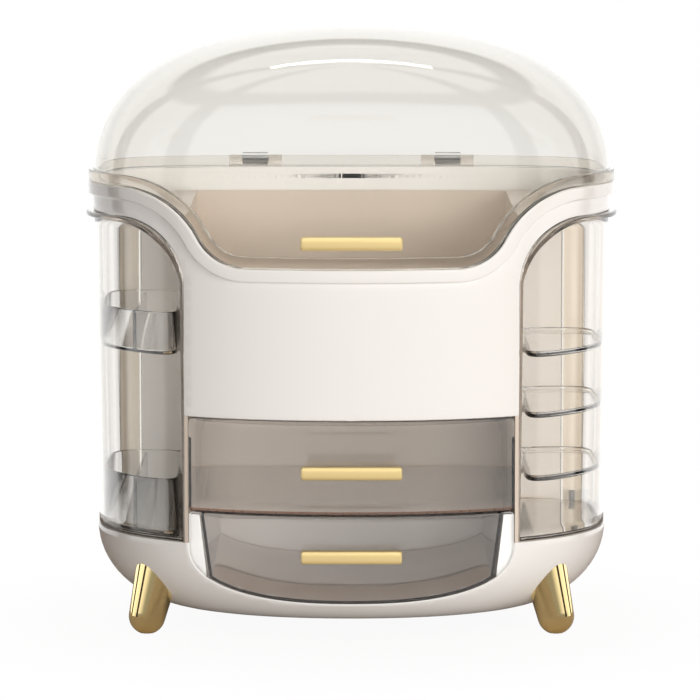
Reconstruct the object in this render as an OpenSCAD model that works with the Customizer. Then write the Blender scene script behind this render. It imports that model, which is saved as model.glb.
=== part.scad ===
// Dustproof makeup organizer: a white cabinet on four splayed metal legs, with a clear domed lid,
// two sliding drawers and a clear swinging door with its own tiers on each side.
// Millimetres. +X is right, +Y is the back, +Z is up. The origin is the bottom centre of the whole box.

/* [Body] */
// Width over the side walls
body_w = 322; // [300:1:350]
// Depth of the rounded front half
front_depth = 118; // [105:1:135]
// Depth of the squarer back half
back_depth = 106; // [98:1:125]
// Roundness exponent of the front half
front_round = 2.1; // [2:0.05:3]
// Roundness exponent of the back half
back_round = 5; // [4:0.5:7]
// Wall of the white body shell
body_wall = 2.6; // [2:0.1:3.2]

/* [Collar] */
// Height of the front panel's lower edge
panel_z = 138.7; // [132:0.1:146]
// Height of the collar at the sides and the back
shoulder_z = 276; // [268:1:284]
// How far the collar dips at the front centre
valley_drop = 46; // [40:1:52]
// Half width of the level stretch at the front centre
valley_half = 64; // [55:1:70]
// Radius where the collar starts to rise
valley_r = 32; // [26:1:36]
// Distance inside the body's side at which the collar is level again
shoulder_in = 21; // [15:1:27]
// Height of the raised border under the lid
border_h = 8; // [5:0.5:10]
// How far the border stands out
border_out = 3; // [1:0.5:4]

/* [Base] */
// How far the bowl's top stays inside the body's sides
base_step_x = 2.5; // [0:0.5:6]
// How far the bowl's top stays inside the body's front
base_step_front = 0.5; // [0:0.5:3]
// Height of the underside above the table
base_z = 10.5; // [8:0.5:13]
// Height of the deck that the doors stand on
deck_z = 61; // [56:1:66]
// How far the bowl draws in at each side
tuck_x = 60; // [45:1:65]
// How far the bowl draws in at the front and the back
tuck_y = 50; // [40:1:55]
// Wall of the bowl
base_wall = 2.6; // [2:0.1:3.2]
// Thickness of the deck
deck_t = 2.4; // [2:0.1:3]

/* [Column] */
// Half width of the drawer bay
bay_half = 99.4; // [92:0.2:104]
// Wall of the column
column_wall = 2.2; // [1.8:0.1:2.8]
// Space between the bay's back wall and the body's back wall
back_space = 6.2; // [5:0.2:12]
// Height of the upper drawer's shelf above the deck
shelf_h = 20; // [17:0.5:25]
// Thickness of the shelf
shelf_t = 2.2; // [1.8:0.1:3]
// How far the shelf stays behind the drawer fronts
shelf_setback = 12; // [8:1:20]
// Space between the lower tub and the ledges that carry the shelf
ledge_space = 2; // [1:0.5:4]

/* [Doors] */
// How far the door arch stays under the collar's sides
arch_drop = 18; // [14:1:24]
// Radius of the door arch
arch_r = 40; // [30:1:44]
// Wall of the clear door shell
door_wall = 2.4; // [1.8:0.1:3]
// Thickness of the door's floor
door_floor = 2.4; // [2:0.1:3]
// How far the door stays inside the body's outline
door_inset = 1.5; // [0:0.1:2]
// How far the lip stands out
lip_out = 5; // [3:0.5:6]
// Thickness of the lip
lip_t = 3; // [2:0.5:4]
// How far the lip turns inwards down the front edge
lip_in = 6; // [4:0.5:8]
// Distance of the hinge axis behind the centre
hinge_y = 76; // [68:1:78]
// Distance of the hinge axis inside the door's face
hinge_in = 9.5; // [9:0.5:11]
// Room behind the hinge in which the door's rear corner swings
swing_space = 2.4; // [2:0.1:4]
// Radius of the hinge post
post_r = 8; // [7.5:0.5:9]
// Radius of the hinge pins
pin_r = 1.5; // [1.2:0.1:2]
// Length of each hinge pin inside the post
pin_grip = 9; // [7:1:12]
// Length of each hinge socket in the cabinet
pin_root = 4.5; // [4:0.5:6]
// Closed end of each hinge socket
pin_end = 1; // [0.6:0.1:2]
// Wall round each hinge socket
pin_socket_wall = 1.8; // [1.2:0.1:2.4]

/* [Door tiers] */
// Height of the upper left tier's floor above the deck
left_tier_h = 113.5; // [100:0.5:130]
// Height of the wall round the lower left tier
lower_wall_h = 34; // [24:1:50]
// Height of the wall round the upper left tier
upper_wall_h = 26; // [18:1:40]
// Wall of the left tiers
tier_wall = 1.8; // [1.4:0.1:2.4]
// Height of the low right shelf above the deck
low_shelf_h = 37; // [28:0.5:46]
// Height of the middle right shelf above the deck
mid_shelf_h = 76; // [66:0.5:86]
// Height of the high right shelf above the deck
high_shelf_h = 113.5; // [104:0.5:130]
// Thickness of the right shelves
right_shelf_t = 2; // [1.6:0.1:2.6]
// Height of the rolled edge round the right shelves
roll_h = 4.5; // [3:0.5:7]
// Thickness of the rolled edge
roll_t = 2.4; // [1.8:0.1:3]
// Size of the ribs that carry the tiers
rib = 2.5; // [1.5:0.5:4]

/* [Lid] */
// Height of the dome above the collar's sides
dome_h = 97.5; // [85:0.5:110]
// Roundness exponent of the dome seen from the front
dome_round_x = 2.35; // [2:0.05:3]
// Roundness exponent of the dome seen from the side
dome_round_y = 3.2; // [2.2:0.1:4]
// Wall of the dome
lid_wall = 2.4; // [1.8:0.1:3]
// Height of the lid's rim
rim_h = 7; // [5:0.5:9]
// How far the rim stands out
rim_out = 3; // [2:0.5:4]
// Radius of the lid hinge barrels
barrel_r = 4; // [3.5:0.5:5]
// Length of one lid hinge
lid_hinge_w = 34; // [24:2:44]
// Distance of each lid hinge from the centre
lid_hinge_x = 62; // [45:1:75]

/* [Drawers] */
// Thickness of the drawer fronts
front_t = 2.6; // [2:0.1:3.2]
// Wall of the drawer tubs
tub_wall = 1.8; // [1.5:0.1:2.4]
// Floor of the drawer tubs
tub_floor = 2; // [1.6:0.1:2.6]
// How far the upper tub's wall stays under the front panel
upper_tub_drop = 13.4; // [8:0.2:24]
// Space behind the drawer tubs
tub_space = 4; // [2:0.5:8]
// Depth of the lower front's curve below the deck
smile_h = 37.2; // [32:0.2:42]
// Roundness exponent of the lower front's curve
smile_round = 2.5; // [2:0.1:3]
// Space beside the lower tub at its top
lower_tub_in = 8.4; // [7:0.2:12]
// How far the lower tub draws in towards its floor on each side
lower_tub_taper = 7; // [5:0.5:12]

/* [Handles] */
// Length of a handle bar
handle_w = 61; // [50:0.5:80]
// Height of a handle bar
handle_h = 8; // [6:0.5:10]
// Depth of a handle bar
handle_d = 8; // [6:0.5:10]
// Gap behind a handle bar
handle_gap = 4; // [3:0.5:8]
// Distance between a handle's posts
handle_pitch = 40; // [30:1:48]
// Radius of a handle's posts
handle_post_r = 2.8; // [2.4:0.1:3.4]
// Radius of a handle bar's long front edges
handle_edge_r = 2; // [1:0.1:2.8]
// Radius of the handle screws
handle_screw_r = 1.25; // [1:0.05:1.5]
// How far the handle screws reach into the handles in front of the body
screw_bite = 5; // [4:0.5:9]
// How far the lower drawer's handle lies under the deck
lower_handle_drop = 4; // [0:0.5:10]
// Height of the upper drawer's handle above its shelf
upper_handle_rise = 27; // [20:0.5:35]
// Height of the lid's handle above the collar's dip
lid_handle_rise = 16.5; // [13:0.5:30]

/* [Legs] */
// Distance of a foot's centre inside the bowl's side
foot_in_x = 32.5; // [26:0.5:40]
// Distance of a front foot's centre inside the bowl's outline
foot_in_front = 13; // [8:0.5:15]
// Distance of a rear foot's centre inside the bowl's back
foot_in_back = 24; // [20:0.5:28]
// Radius of the foot's round end
foot_r = 11.3; // [9:0.1:12.5]
// Radius of the leg at its top
leg_top_r = 14; // [12:0.5:15.5]
// Length of the leg along its axis
leg_l = 46; // [42:1:50]
// Outward lean of the legs
lean_x = 13; // [8:1:16]
// Forward and backward lean of the legs
lean_y = 7; // [0:1:10]
// Depth of the flat that each foot stands on
foot_flat = 0.8; // [0.4:0.1:1.2]
// Radius of the leg screws
leg_screw_r = 2; // [1.5:0.1:2.5]
// Length of the leg screws under their heads
leg_screw_l = 38; // [35:1:41]
// Height of the leg screws' heads
leg_head_h = 2.4; // [1.8:0.1:3]
// Radius of the bosses in the bowl that the leg screws pass
leg_boss_r = 7.3; // [6:0.1:9]

/* [Case screws] */
// Radius of the screws that hold the cabinet together
case_screw_r = 1.6; // [1.2:0.1:2]
// Radius of the bosses they bite into
case_boss_r = 4; // [3.5:0.1:5]
// Distance of the case screws inside the bay's sides
case_in_x = 12; // [9:0.5:20]
// Distance of the case screws inside the bay's top and bottom
case_in_z = 14; // [8:0.5:20]
// Height of the heads of the case and handle screws
screw_head_h = 1.6; // [1.2:0.1:1.9]
// Distance of the deck screws inside the bowl's side
deck_screw_in = 32.5; // [28:0.5:40]
// Distance of the front deck screws before the centre
deck_screw_front = 28; // [15:1:50]
// Distance of the rear deck screws behind the centre
deck_screw_back = 34; // [15:1:50]
// Length of the deck screws
deck_screw_l = 14; // [10:1:18]

/* [Fits] */
// Gap between pieces that move past each other
gap = 0.4; // [0.3:0.05:0.6]
// Radial clearance of the hinge pins
pin_clear = 0.06; // [0.03:0.01:0.1]
// Vertical play under a sliding or swinging piece
play = 0.3; // [0.2:0.05:0.4]

/* [Hidden] */
// Facets round a plan outline
plan_steps = 72;
// Facets along each arc of the collar and the doors
arc_steps = 10;
// Levels of the bowl and of the dome
bowl_levels = 8;
dome_levels = 12;
// The dome's last level stops short of its pole, at this angle
dome_stop = 86;
$fn = 48;
// A length that reaches past everything, and how far a cut runs past a face
far = 400;
cut = 1;

body_half = body_w / 2;
base_half = body_half - base_step_x;
base_front = front_depth - base_step_front;
column_half = bay_half + column_wall;
bay_back = back_depth - body_wall - back_space - column_wall;

valley_z = shoulder_z - valley_drop;
shoulder_x = body_half - shoulder_in;
rise_angle = 2 * atan(valley_drop / (shoulder_x - valley_half));
shoulder_r = (shoulder_x - valley_half) / sin(rise_angle) - valley_r;
dome_z = shoulder_z + dome_h;
tray_inset = body_wall + gap;
tray_wall = body_wall;
lid_axis_y = back_depth + rim_out + barrel_r + gap;
lid_axis_z = shoulder_z + play + barrel_r;
lid_ear_w = lid_hinge_w / 4;

door_x = column_half + gap;
arch_x = door_x + arch_r;
arch_z = shoulder_z - arch_drop;
door_floor_z = deck_z + play;
door_face = door_inset + door_wall;
hinge_x = half_width_at(hinge_y, door_inset) - hinge_in;
shell_back_y = hinge_y + hinge_in + swing_space;
pin_socket_r = pin_r + pin_socket_wall;
left_tier_z = deck_z + left_tier_h;
right_shelf_z = [deck_z + low_shelf_h, deck_z + mid_shelf_h, deck_z + high_shelf_h];

shelf_z = deck_z + shelf_h;
lower_front_top = shelf_z - gap - play;
tub_z = shelf_z + play;
tub_back = bay_back - tub_space;
upper_tub_top = panel_z - upper_tub_drop;
lower_tub_top = bay_half - lower_tub_in;
lower_tub_foot = lower_tub_top - lower_tub_taper;
smile_z = deck_z - smile_h;
// the lower tub's back stands clear of the bowl where its floor is lowest
lower_tub_back = bowl_back_at(lower_tub_foot, smile_z, base_wall) - gap - play;

// Heights of the handles: lower drawer, upper drawer, lid
handle_z = [deck_z - lower_handle_drop, shelf_z + upper_handle_rise, valley_z + lid_handle_rise];
handle_head_r = 2 * handle_screw_r;
foot_x = base_half - foot_in_x;
foot_front = curve_at(foot_x, base_half, base_front) - foot_in_front;
foot_back = back_depth - foot_in_back;
leg_head_r = 2 * leg_screw_r;
case_head_r = 2 * case_screw_r;
case_x = bay_half - case_in_x;
case_z = [panel_z - case_in_z, deck_z + case_in_z];
deck_screw_x = base_half - deck_screw_in;

box_front = front_depth + handle_gap + handle_d;
box_back = lid_axis_y + barrel_r;
y_shift = (box_front - box_back) / 2;

// ---- outlines ----

// Half width of the body's back half at depth y, drawn in by inset.
function half_width_at(y, inset) =
    (body_half - inset) * pow(1 - pow(y / (back_depth - inset), back_round), 1 / back_round);

// Depth of the body's back at distance x from the centre, drawn in by inset.
function back_at(x, inset) =
    (back_depth - inset) * pow(1 - pow(x / (body_half - inset), back_round), 1 / back_round);

// How far the bowl has drawn in at height z, from 0 at the deck to 1 at the underside.
function tuck_at(z, inset) = z >= deck_z ? 0 : 1 - sqrt(1 - pow((deck_z - z) / (deck_z - base_z - inset), 2));

// Depth of the bowl's back at distance x and height z, drawn in by inset.
function bowl_back_at(x, z, inset) =
    let (tuck = tuck_at(z, inset), a = base_half - inset - tuck_x * tuck, b = back_depth - inset - tuck_y * tuck)
    b * pow(1 - pow(x / a, back_round), 1 / back_round);

// Depth of a front of half width a and depth b at distance x from the centre.
function curve_at(x, a, b) = b * pow(1 - pow(abs(x) / a, front_round), 1 / front_round);
function front_at(x, inset) = curve_at(x, body_half - inset, front_depth - inset);

// Depth of the front that handle k sits on, which is the bowl's for the lower drawer.
function seat_at(k, x, z, inset) = let (tuck = tuck_at(z, inset))
    k == 0 ? curve_at(x, base_half - inset - tuck_x * tuck, base_front - inset - tuck_y * tuck) : front_at(x, inset);

// One point of a superellipse: half width a, front depth b, back depth c.
function plan_point(t, a, b, c) =
    let (n = sin(t) < 0 ? front_round : back_round, d = sin(t) < 0 ? b : c)
    [a * sign(cos(t)) * pow(abs(cos(t)), 2 / n), d * sign(sin(t)) * pow(abs(sin(t)), 2 / n)];

function plan_outline(a, b, c) = [for (i = [0 : plan_steps - 1]) plan_point(i * 360 / plan_steps, a, b, c)];

// The body's plan, drawn in by inset. A negative inset stands out.
function body_plan(inset) = plan_outline(body_half - inset, front_depth - inset, back_depth - inset);

// The bowl's plan, drawn in by inset. The tuck goes from 0 at the deck to 1 at the underside.
function bowl_plan(tuck, inset) = plan_outline(base_half - inset - tuck_x * tuck,
    base_front - inset - tuck_y * tuck, back_depth - inset - tuck_y * tuck);

// The dome's plan at height z, drawn in by inset. Below the shoulder it is the body's own plan.
function dome_share(z, inset, n) =
    z <= shoulder_z ? 1 : pow(max(0, 1 - pow((z - shoulder_z) / (dome_z - inset - shoulder_z), n)), 1 / n);
function dome_plan(z, inset) =
    let (sx = dome_share(z, inset, dome_round_x), sy = dome_share(z, inset, dome_round_y))
    plan_outline((body_half - inset) * sx, (front_depth - inset) * sy, (back_depth - inset) * sy);

// The collar's right half in the front view, moved up by d along its normal.
function collar_half(d) = concat(
    [for (i = [0 : arc_steps]) let (a = rise_angle * i / arc_steps)
        [valley_half + (valley_r - d) * sin(a), valley_z + valley_r - (valley_r - d) * cos(a)]],
    [for (i = [arc_steps - 1 : -1 : 0]) let (a = rise_angle * i / arc_steps)
        [shoulder_x - (shoulder_r + d) * sin(a), shoulder_z - shoulder_r + (shoulder_r + d) * cos(a)]]);
function mirrored(points) = [for (i = [len(points) - 1 : -1 : 0]) [-points[i][0], points[i][1]]];
function collar_line(d) = concat([[-far, shoulder_z + d]], mirrored(collar_half(d)), collar_half(d),
                                 [[far, shoulder_z + d]]);

// The lower drawer's outline in the front view, drawn in by g, with straight sides up to top.
function smile_point(t, g) =
    [(bay_half - g) * sign(cos(t)) * pow(abs(cos(t)), 2 / smile_round),
     deck_z - (smile_h - g) * pow(abs(sin(t)), 2 / smile_round)];
function smile_outline(g, top) = concat([[-(bay_half - g), top]],
    [for (i = [0 : 2 * arc_steps]) smile_point(180 + 90 * i / arc_steps, g)], [[bay_half - g, top]]);

// ---- helpers ----

// Extrudes a front view (x, z) along Y, from y0 to y1.
module along_y(y0, y1) { translate([0, y1, 0]) rotate([90, 0, 0]) linear_extrude(y1 - y0) children(); }

module slab(points, z0, z1) { translate([0, 0, z0]) linear_extrude(z1 - z0) polygon(points); }

module ring(outer, inner, z0, z1) {
    translate([0, 0, z0]) linear_extrude(z1 - z0) difference() { polygon(outer); polygon(inner); }
}

// A closed solid through a stack of outlines with equal numbers of points, lowest first.
module loft(outlines, heights) {
    n = len(outlines[0]);
    m = len(outlines);
    points = [for (k = [0 : m - 1]) for (p = outlines[k]) [p[0], p[1], heights[k]]];
    sides = [for (k = [0 : m - 2]) for (i = [0 : n - 1]) let (j = (i + 1) % n) each
        [[k * n + i, (k + 1) * n + i, (k + 1) * n + j], [k * n + i, (k + 1) * n + j, k * n + j]]];
    foot = [for (i = [0 : n - 1]) i];
    head = [for (i = [n - 1 : -1 : 0]) (m - 1) * n + i];
    polyhedron(points = points, faces = concat(sides, [foot, head]), convexity = 4);
}

// The bowl's solid, drawn in by inset, with its top at the given height: a quarter ellipse up to the
// deck and upright above it.
module bowl(inset, top) {
    drop = deck_z - base_z - inset;
    last = acos(max(0, deck_z - top) / drop);
    turns = [for (k = [0 : bowl_levels]) last * k / bowl_levels];
    upright = top > deck_z;
    loft(concat([for (a = turns) bowl_plan(1 - sin(a), inset)], upright ? [bowl_plan(0, inset)] : []),
         concat([for (a = turns) deck_z - drop * cos(a)], upright ? [top] : []));
}

// The dome's solid, drawn in by inset, from the given foot up.
module dome(inset, foot) {
    rise = dome_z - inset - shoulder_z;
    // the last level stops short of the pole, where the outline would shrink to a point
    heights = [for (k = [0 : dome_levels]) shoulder_z + rise * sin(dome_stop * k / dome_levels)];
    loft(concat([body_plan(inset)], [for (z = heights) dome_plan(z, inset)]), concat([foot], heights));
}

// The space above the collar, raised by d: it follows the collar in front and is level behind.
module above_collar(d) {
    along_y(-far, 0) polygon(concat(collar_line(d), [[far, far + shoulder_z], [-far, far + shoulder_z]]));
    translate([-far, -play, shoulder_z + d]) cube([2 * far, far, far]);
}

// A door's outline in the front view, drawn in by g, for the right side.
module arch_2d(g, foot) {
    union() {
        translate([door_x + g, foot]) square([far, arch_z - arch_r - foot]);
        translate([arch_x, foot]) square([far, arch_z - g - foot]);
        translate([arch_x, arch_z - arch_r]) circle(r = arch_r - g, $fn = 96);
    }
}

// The plan of a door's inside, drawn in by inset from the body and by side from the column.
module door_plan_2d(inset, side, back) {
    intersection() {
        polygon(body_plan(inset));
        translate([door_x + side, -far]) square([far, far + hinge_y - back]);
    }
}

// Both sides of the cabinet.
module both_sides() { children(); mirror([1, 0, 0]) children(); }

// Puts children on a leg's axis, with their own +Z up the leg from the centre of the foot's round end.
module on_leg(sx, sy) {
    translate([sx * foot_x, sy * (sy < 0 ? foot_front : foot_back), foot_r - foot_flat])
        rotate([sy * lean_y, -sx * lean_x, 0]) children();
}
leg_corners = [for (sx = [-1, 1]) for (sy = [-1, 1]) [sx, sy]];

// Puts children at each deck screw, at height z.
module at_deck_screws(z) {
    both_sides() for (y = [-deck_screw_front, deck_screw_back]) translate([deck_screw_x, y, z]) children();
}

// A cylinder that points towards +Y from y0 to y1.
module rod_y(r, x, z, y0, y1) { translate([x, y0, z]) rotate([-90, 0, 0]) cylinder(r = r, h = y1 - y0); }

// ---- cabinet ----

module base_pan() {
    color("whitesmoke") difference() {
        union() {
            difference() {
                bowl(0, deck_z);
                bowl(base_wall, deck_z + cut);
            }
            // drawer tunnel and leg bosses, kept inside the bowl
            intersection() {
                bowl(base_wall / 2, deck_z - deck_t);
                union() {
                    difference() {
                        along_y(-far, bay_back + column_wall) polygon(smile_outline(-column_wall, deck_z));
                        along_y(-2 * far, bay_back) polygon(smile_outline(0, far));
                    }
                    for (c = leg_corners) on_leg(c[0], c[1]) cylinder(r = leg_boss_r, h = leg_screw_l);
                    at_deck_screws(base_z) cylinder(r = case_boss_r, h = deck_z);
                }
            }
        }
        // front opening of the lower drawer
        along_y(-far, 0) polygon(smile_outline(0, far));
        at_deck_screws(deck_z - deck_screw_l) cylinder(r = case_screw_r, h = far);
        for (c = leg_corners) on_leg(c[0], c[1]) cylinder(r = leg_screw_r, h = far);
    }
}

module leg(sx, sy) {
    color("gold") difference() {
        on_leg(sx, sy) union() {
            sphere(r = foot_r);
            cylinder(r1 = foot_r, r2 = leg_top_r, h = leg_l - foot_r);
        }
        bowl(0, deck_z);
        on_leg(sx, sy) cylinder(r = leg_screw_r, h = far);
        // the flat that the foot stands on
        translate([-far, -far, -far]) cube([2 * far, 2 * far, far]);
    }
}

module leg_screws() {
    color("silver") for (c = leg_corners) on_leg(c[0], c[1]) {
        cylinder(r = leg_screw_r, h = leg_screw_l);
        translate([0, 0, leg_screw_l]) cylinder(r = leg_head_r, h = leg_head_h);
    }
}

module column() {
    color("linen") difference() {
        union() {
            // deck under the doors, open over the drawer tunnel
            translate([0, 0, deck_z - deck_t]) linear_extrude(deck_t) difference() {
                polygon(bowl_plan(0, base_wall + play));
                translate([-bay_half, -far]) square([2 * bay_half, far + bay_back]);
            }
            // side walls and back wall of the drawer bay
            translate([0, 0, deck_z]) linear_extrude(panel_z - deck_z) difference() {
                intersection() {
                    polygon(body_plan(gap));
                    translate([-column_half, -far]) square([2 * column_half, far + bay_back + column_wall]);
                }
                translate([-bay_half, -far]) square([2 * bay_half, far + bay_back]);
            }
            // ledges that carry the shelf
            both_sides() translate([lower_tub_top + ledge_space, -front_at(bay_half, shelf_setback), deck_z])
                cube([lower_tub_in - ledge_space, front_at(bay_half, shelf_setback) + bay_back,
                      shelf_z - shelf_t - deck_z]);
            // bosses that the body shell is screwed to
            both_sides() for (z = case_z)
                rod_y(case_boss_r, case_x, z, bay_back, back_at(case_x + case_boss_r, body_wall) - play);
            // sockets of the door hinge pins
            both_sides() translate([hinge_x, hinge_y, deck_z - pin_root])
                cylinder(r = pin_socket_r, h = pin_root);
        }
        both_sides() for (z = case_z) rod_y(case_screw_r, case_x, z, bay_back - cut, back_depth);
        both_sides() translate([hinge_x, hinge_y, deck_z - pin_root + pin_end]) cylinder(r = pin_r, h = pin_root);
        at_deck_screws(0) cylinder(r = case_screw_r, h = far);
        at_deck_screws(deck_z - screw_head_h) cylinder(r = case_head_r, h = far);
    }
}

module drawer_shelf() {
    color("tan") translate([0, 0, shelf_z - shelf_t]) linear_extrude(shelf_t) intersection() {
        polygon(body_plan(shelf_setback));
        translate([-bay_half, -far]) square([2 * bay_half, far + bay_back]);
    }
}

module body_shell() {
    color("white") difference() {
        union() {
            ring(body_plan(0), body_plan(body_wall), deck_z, shoulder_z);
            // raised border under the lid
            difference() {
                ring(body_plan(-border_out), body_plan(body_wall), valley_z - border_h, shoulder_z);
                difference() {
                    translate([-far, -far, 0]) cube(2 * far);
                    above_collar(-border_h);
                }
            }
            // ears of the lid hinges
            both_sides() lid_hinge_ears();
        }
        above_collar(0);
        // door openings
        both_sides() along_y(-far, shell_back_y) arch_2d(0, 0);
        // the drawers, with the column's walls beside them
        translate([-door_x, -far, 0]) cube([2 * door_x, far, panel_z]);
        both_sides() for (z = case_z) rod_y(case_screw_r, case_x, z, 0, far);
        both_sides() rod_x(pin_r, lid_hinge_x - lid_hinge_w, 2 * lid_hinge_w);
    }
}

// A cylinder along +X on the lid's hinge axis, from x0 on.
module rod_x(r, x0, l) { translate([x0, lid_axis_y, lid_axis_z]) rotate([0, 90, 0]) cylinder(r = r, h = l); }

// The two fixed ears of the right lid hinge, with the arms that carry them from the shell's back.
module lid_hinge_ears() {
    for (x0 = [lid_hinge_x - lid_hinge_w / 2, lid_hinge_x + lid_hinge_w / 2 - lid_ear_w]) {
        rod_x(barrel_r, x0, lid_ear_w);
        translate([x0, back_depth, lid_axis_z - 3 * barrel_r])
            cube([lid_ear_w, lid_axis_y + barrel_r - back_depth, shoulder_z - lid_axis_z + 3 * barrel_r]);
        translate([x0, lid_axis_y, lid_axis_z - 2 * barrel_r]) cube([lid_ear_w, barrel_r, 2 * barrel_r]);
    }
}

module top_tray() {
    inner = tray_inset + tray_wall;
    floor_top = panel_z + deck_t;
    lip_z = arch_z + gap;
    color("seashell") difference() {
        union() {
            // the deep well behind the front panel
            translate([0, 0, panel_z]) linear_extrude(lip_z + deck_t - panel_z) difference() {
                intersection() {
                    polygon(body_plan(tray_inset));
                    translate([-column_half, -far]) square([2 * column_half, 2 * far]);
                }
                intersection() {
                    polygon(body_plan(inner));
                    translate([-bay_half, -far]) square([2 * bay_half, 2 * far]);
                }
            }
            translate([0, 0, panel_z]) linear_extrude(deck_t) intersection() {
                polygon(body_plan(tray_inset));
                translate([-column_half, -far]) square([2 * column_half, 2 * far]);
            }
            // the shallow shelves over the doors
            both_sides() translate([0, 0, lip_z]) linear_extrude(deck_t) intersection() {
                polygon(body_plan(tray_inset));
                translate([bay_half, -far]) square([far, 2 * far]);
            }
            // sockets of the upper door hinge pins
            both_sides() translate([hinge_x, hinge_y, lip_z]) cylinder(r = pin_socket_r, h = pin_root);
        }
        // the well's front wall stays under the collar
        along_y(-far, -front_at(column_half, inner + tray_wall))
            polygon(concat(collar_line(-body_wall), [[far, 2 * far], [-far, 2 * far]]));
        both_sides() translate([hinge_x, hinge_y, lip_z - cut]) cylinder(r = pin_r, h = pin_root - pin_end + cut);
    }
}

// Screws that hold the column to the bowl, sunk into the deck.
module deck_screws() {
    color("silver") {
        at_deck_screws(deck_z - deck_screw_l) cylinder(r = case_screw_r, h = deck_screw_l - screw_head_h);
        at_deck_screws(deck_z - screw_head_h) cylinder(r = case_head_r, h = screw_head_h);
    }
}

// Screws that hold the body shell to the column's back.
module case_screws() {
    seat = back_at(case_x - case_head_r, 0);
    color("silver") both_sides() for (z = case_z) {
        rod_y(case_screw_r, case_x, z, bay_back, seat + screw_head_h);
        rod_y(case_head_r, case_x, z, seat, seat + screw_head_h);
    }
}

module lid_hinge_pins() {
    color("silver") both_sides() rod_x(pin_r, lid_hinge_x - lid_hinge_w / 2, lid_hinge_w);
}

// The two pins of the right door, in the deck and in the top tray.
module door_pins() {
    color("silver") translate([hinge_x, hinge_y, 0]) {
        translate([0, 0, deck_z - pin_root + pin_end]) cylinder(r = pin_r, h = pin_root - pin_end + pin_grip);
        translate([0, 0, arch_z - pin_grip]) cylinder(r = pin_r, h = pin_grip + gap + pin_root - pin_end);
    }
}

// ---- lid ----

module lid_dome() {
    color("lightgray", 0.5) difference() {
        union() {
            difference() {
                dome(0, valley_z);
                dome(lid_wall, valley_z - cut);
            }
            difference() {
                ring(body_plan(-rim_out), body_plan(lid_wall), valley_z, shoulder_z + play + rim_h);
                above_collar(play + rim_h);
            }
            both_sides() lid_hinge_barrel();
        }
        difference() {
            translate([-far, -far, 0]) cube([2 * far, 2 * far, shoulder_z + rim_h]);
            above_collar(play);
        }
        handle_holes(2);
        both_sides() rod_x(pin_r + pin_clear, lid_hinge_x - lid_hinge_w, 2 * lid_hinge_w);
    }
}

// The moving barrel of the right lid hinge, between the two ears.
module lid_hinge_barrel() {
    w = lid_hinge_w - 2 * lid_ear_w - 2 * play;
    rod_x(barrel_r, lid_hinge_x - w / 2, w);
    translate([lid_hinge_x - w / 2, back_depth - lid_wall / 2, lid_axis_z - barrel_r])
        cube([w, lid_axis_y - back_depth + lid_wall / 2, barrel_r + rim_h / 2]);
}

// ---- handles: 0 is the lower drawer's, 1 the upper drawer's and 2 the lid's ----

module handle_bar(k) {
    bar_y = -front_depth - handle_gap;
    // the posts end where the curved front first meets them
    post_seat = seat_at(k, handle_pitch / 2 - handle_post_r, handle_z[k] + handle_post_r, 0);
    color("goldenrod") difference() {
        union() {
            along_x(handle_w) handle_profile();
            both_sides() rod_y(handle_post_r, handle_pitch / 2, handle_z[k], bar_y, -post_seat);
        }
        both_sides() rod_y(handle_screw_r, handle_pitch / 2, handle_z[k], bar_y - screw_bite + handle_gap, 0);
    }
    // Extrudes a side view (y, z) along X, centred.
    module along_x(w) {
        translate([-w / 2, bar_y, handle_z[k]]) rotate([90, 0, 90]) linear_extrude(w) children();
    }
    module handle_profile() {
        r = handle_edge_r;
        polygon(concat([[0, -handle_h / 2], [0, handle_h / 2]],
            [for (a = [90 : 15 : 180]) [-handle_d + r + r * cos(a), handle_h / 2 - r + r * sin(a)]],
            [for (a = [180 : 15 : 270]) [-handle_d + r + r * cos(a), -handle_h / 2 + r + r * sin(a)]]));
    }
}

module handle_holes(k) {
    both_sides() rod_y(handle_screw_r, handle_pitch / 2, handle_z[k], -2 * front_depth, -front_depth / 2);
}

module handle_screws(k, wall) {
    // the heads lie just clear of the curved wall's inside
    seat = play - seat_at(k, handle_pitch / 2 + handle_head_r, handle_z[k] - handle_head_r, wall);
    tip = -front_depth - screw_bite;
    color("silver") both_sides() {
        rod_y(handle_screw_r, handle_pitch / 2, handle_z[k], tip, seat + screw_head_h);
        rod_y(handle_head_r, handle_pitch / 2, handle_z[k], seat, seat + screw_head_h);
    }
}

// ---- drawers ----

module upper_drawer_front() {
    color("lightgray", 0.5) difference() {
        translate([0, 0, shelf_z]) linear_extrude(panel_z - gap - shelf_z) intersection() {
            difference() { polygon(body_plan(0)); polygon(body_plan(front_t)); }
            translate([gap - bay_half, -far]) square([2 * (bay_half - gap), far]);
        }
        handle_holes(1);
    }
}

module upper_drawer_tub() {
    half = bay_half - 2 * gap;
    color("rosybrown", 0.6) translate([0, 0, tub_z]) difference() {
        linear_extrude(upper_tub_top - tub_z) tub_plan(0);
        translate([0, 0, tub_floor]) linear_extrude(far) tub_plan(tub_wall);
    }
    // The front wall is the drawer front, so only the sides and the back draw in.
    module tub_plan(d) {
        intersection() {
            polygon(body_plan(front_t));
            translate([d - half, -far]) square([2 * (half - d), far + tub_back - d]);
        }
    }
}

module lower_drawer_front() {
    color("lightgray", 0.5) difference() {
        intersection() {
            difference() {
                bowl(0, lower_front_top);
                bowl(front_t, lower_front_top + cut);
            }
            along_y(-far, 0) polygon(smile_outline(gap, lower_front_top));
        }
        handle_holes(0);
    }
}

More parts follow.
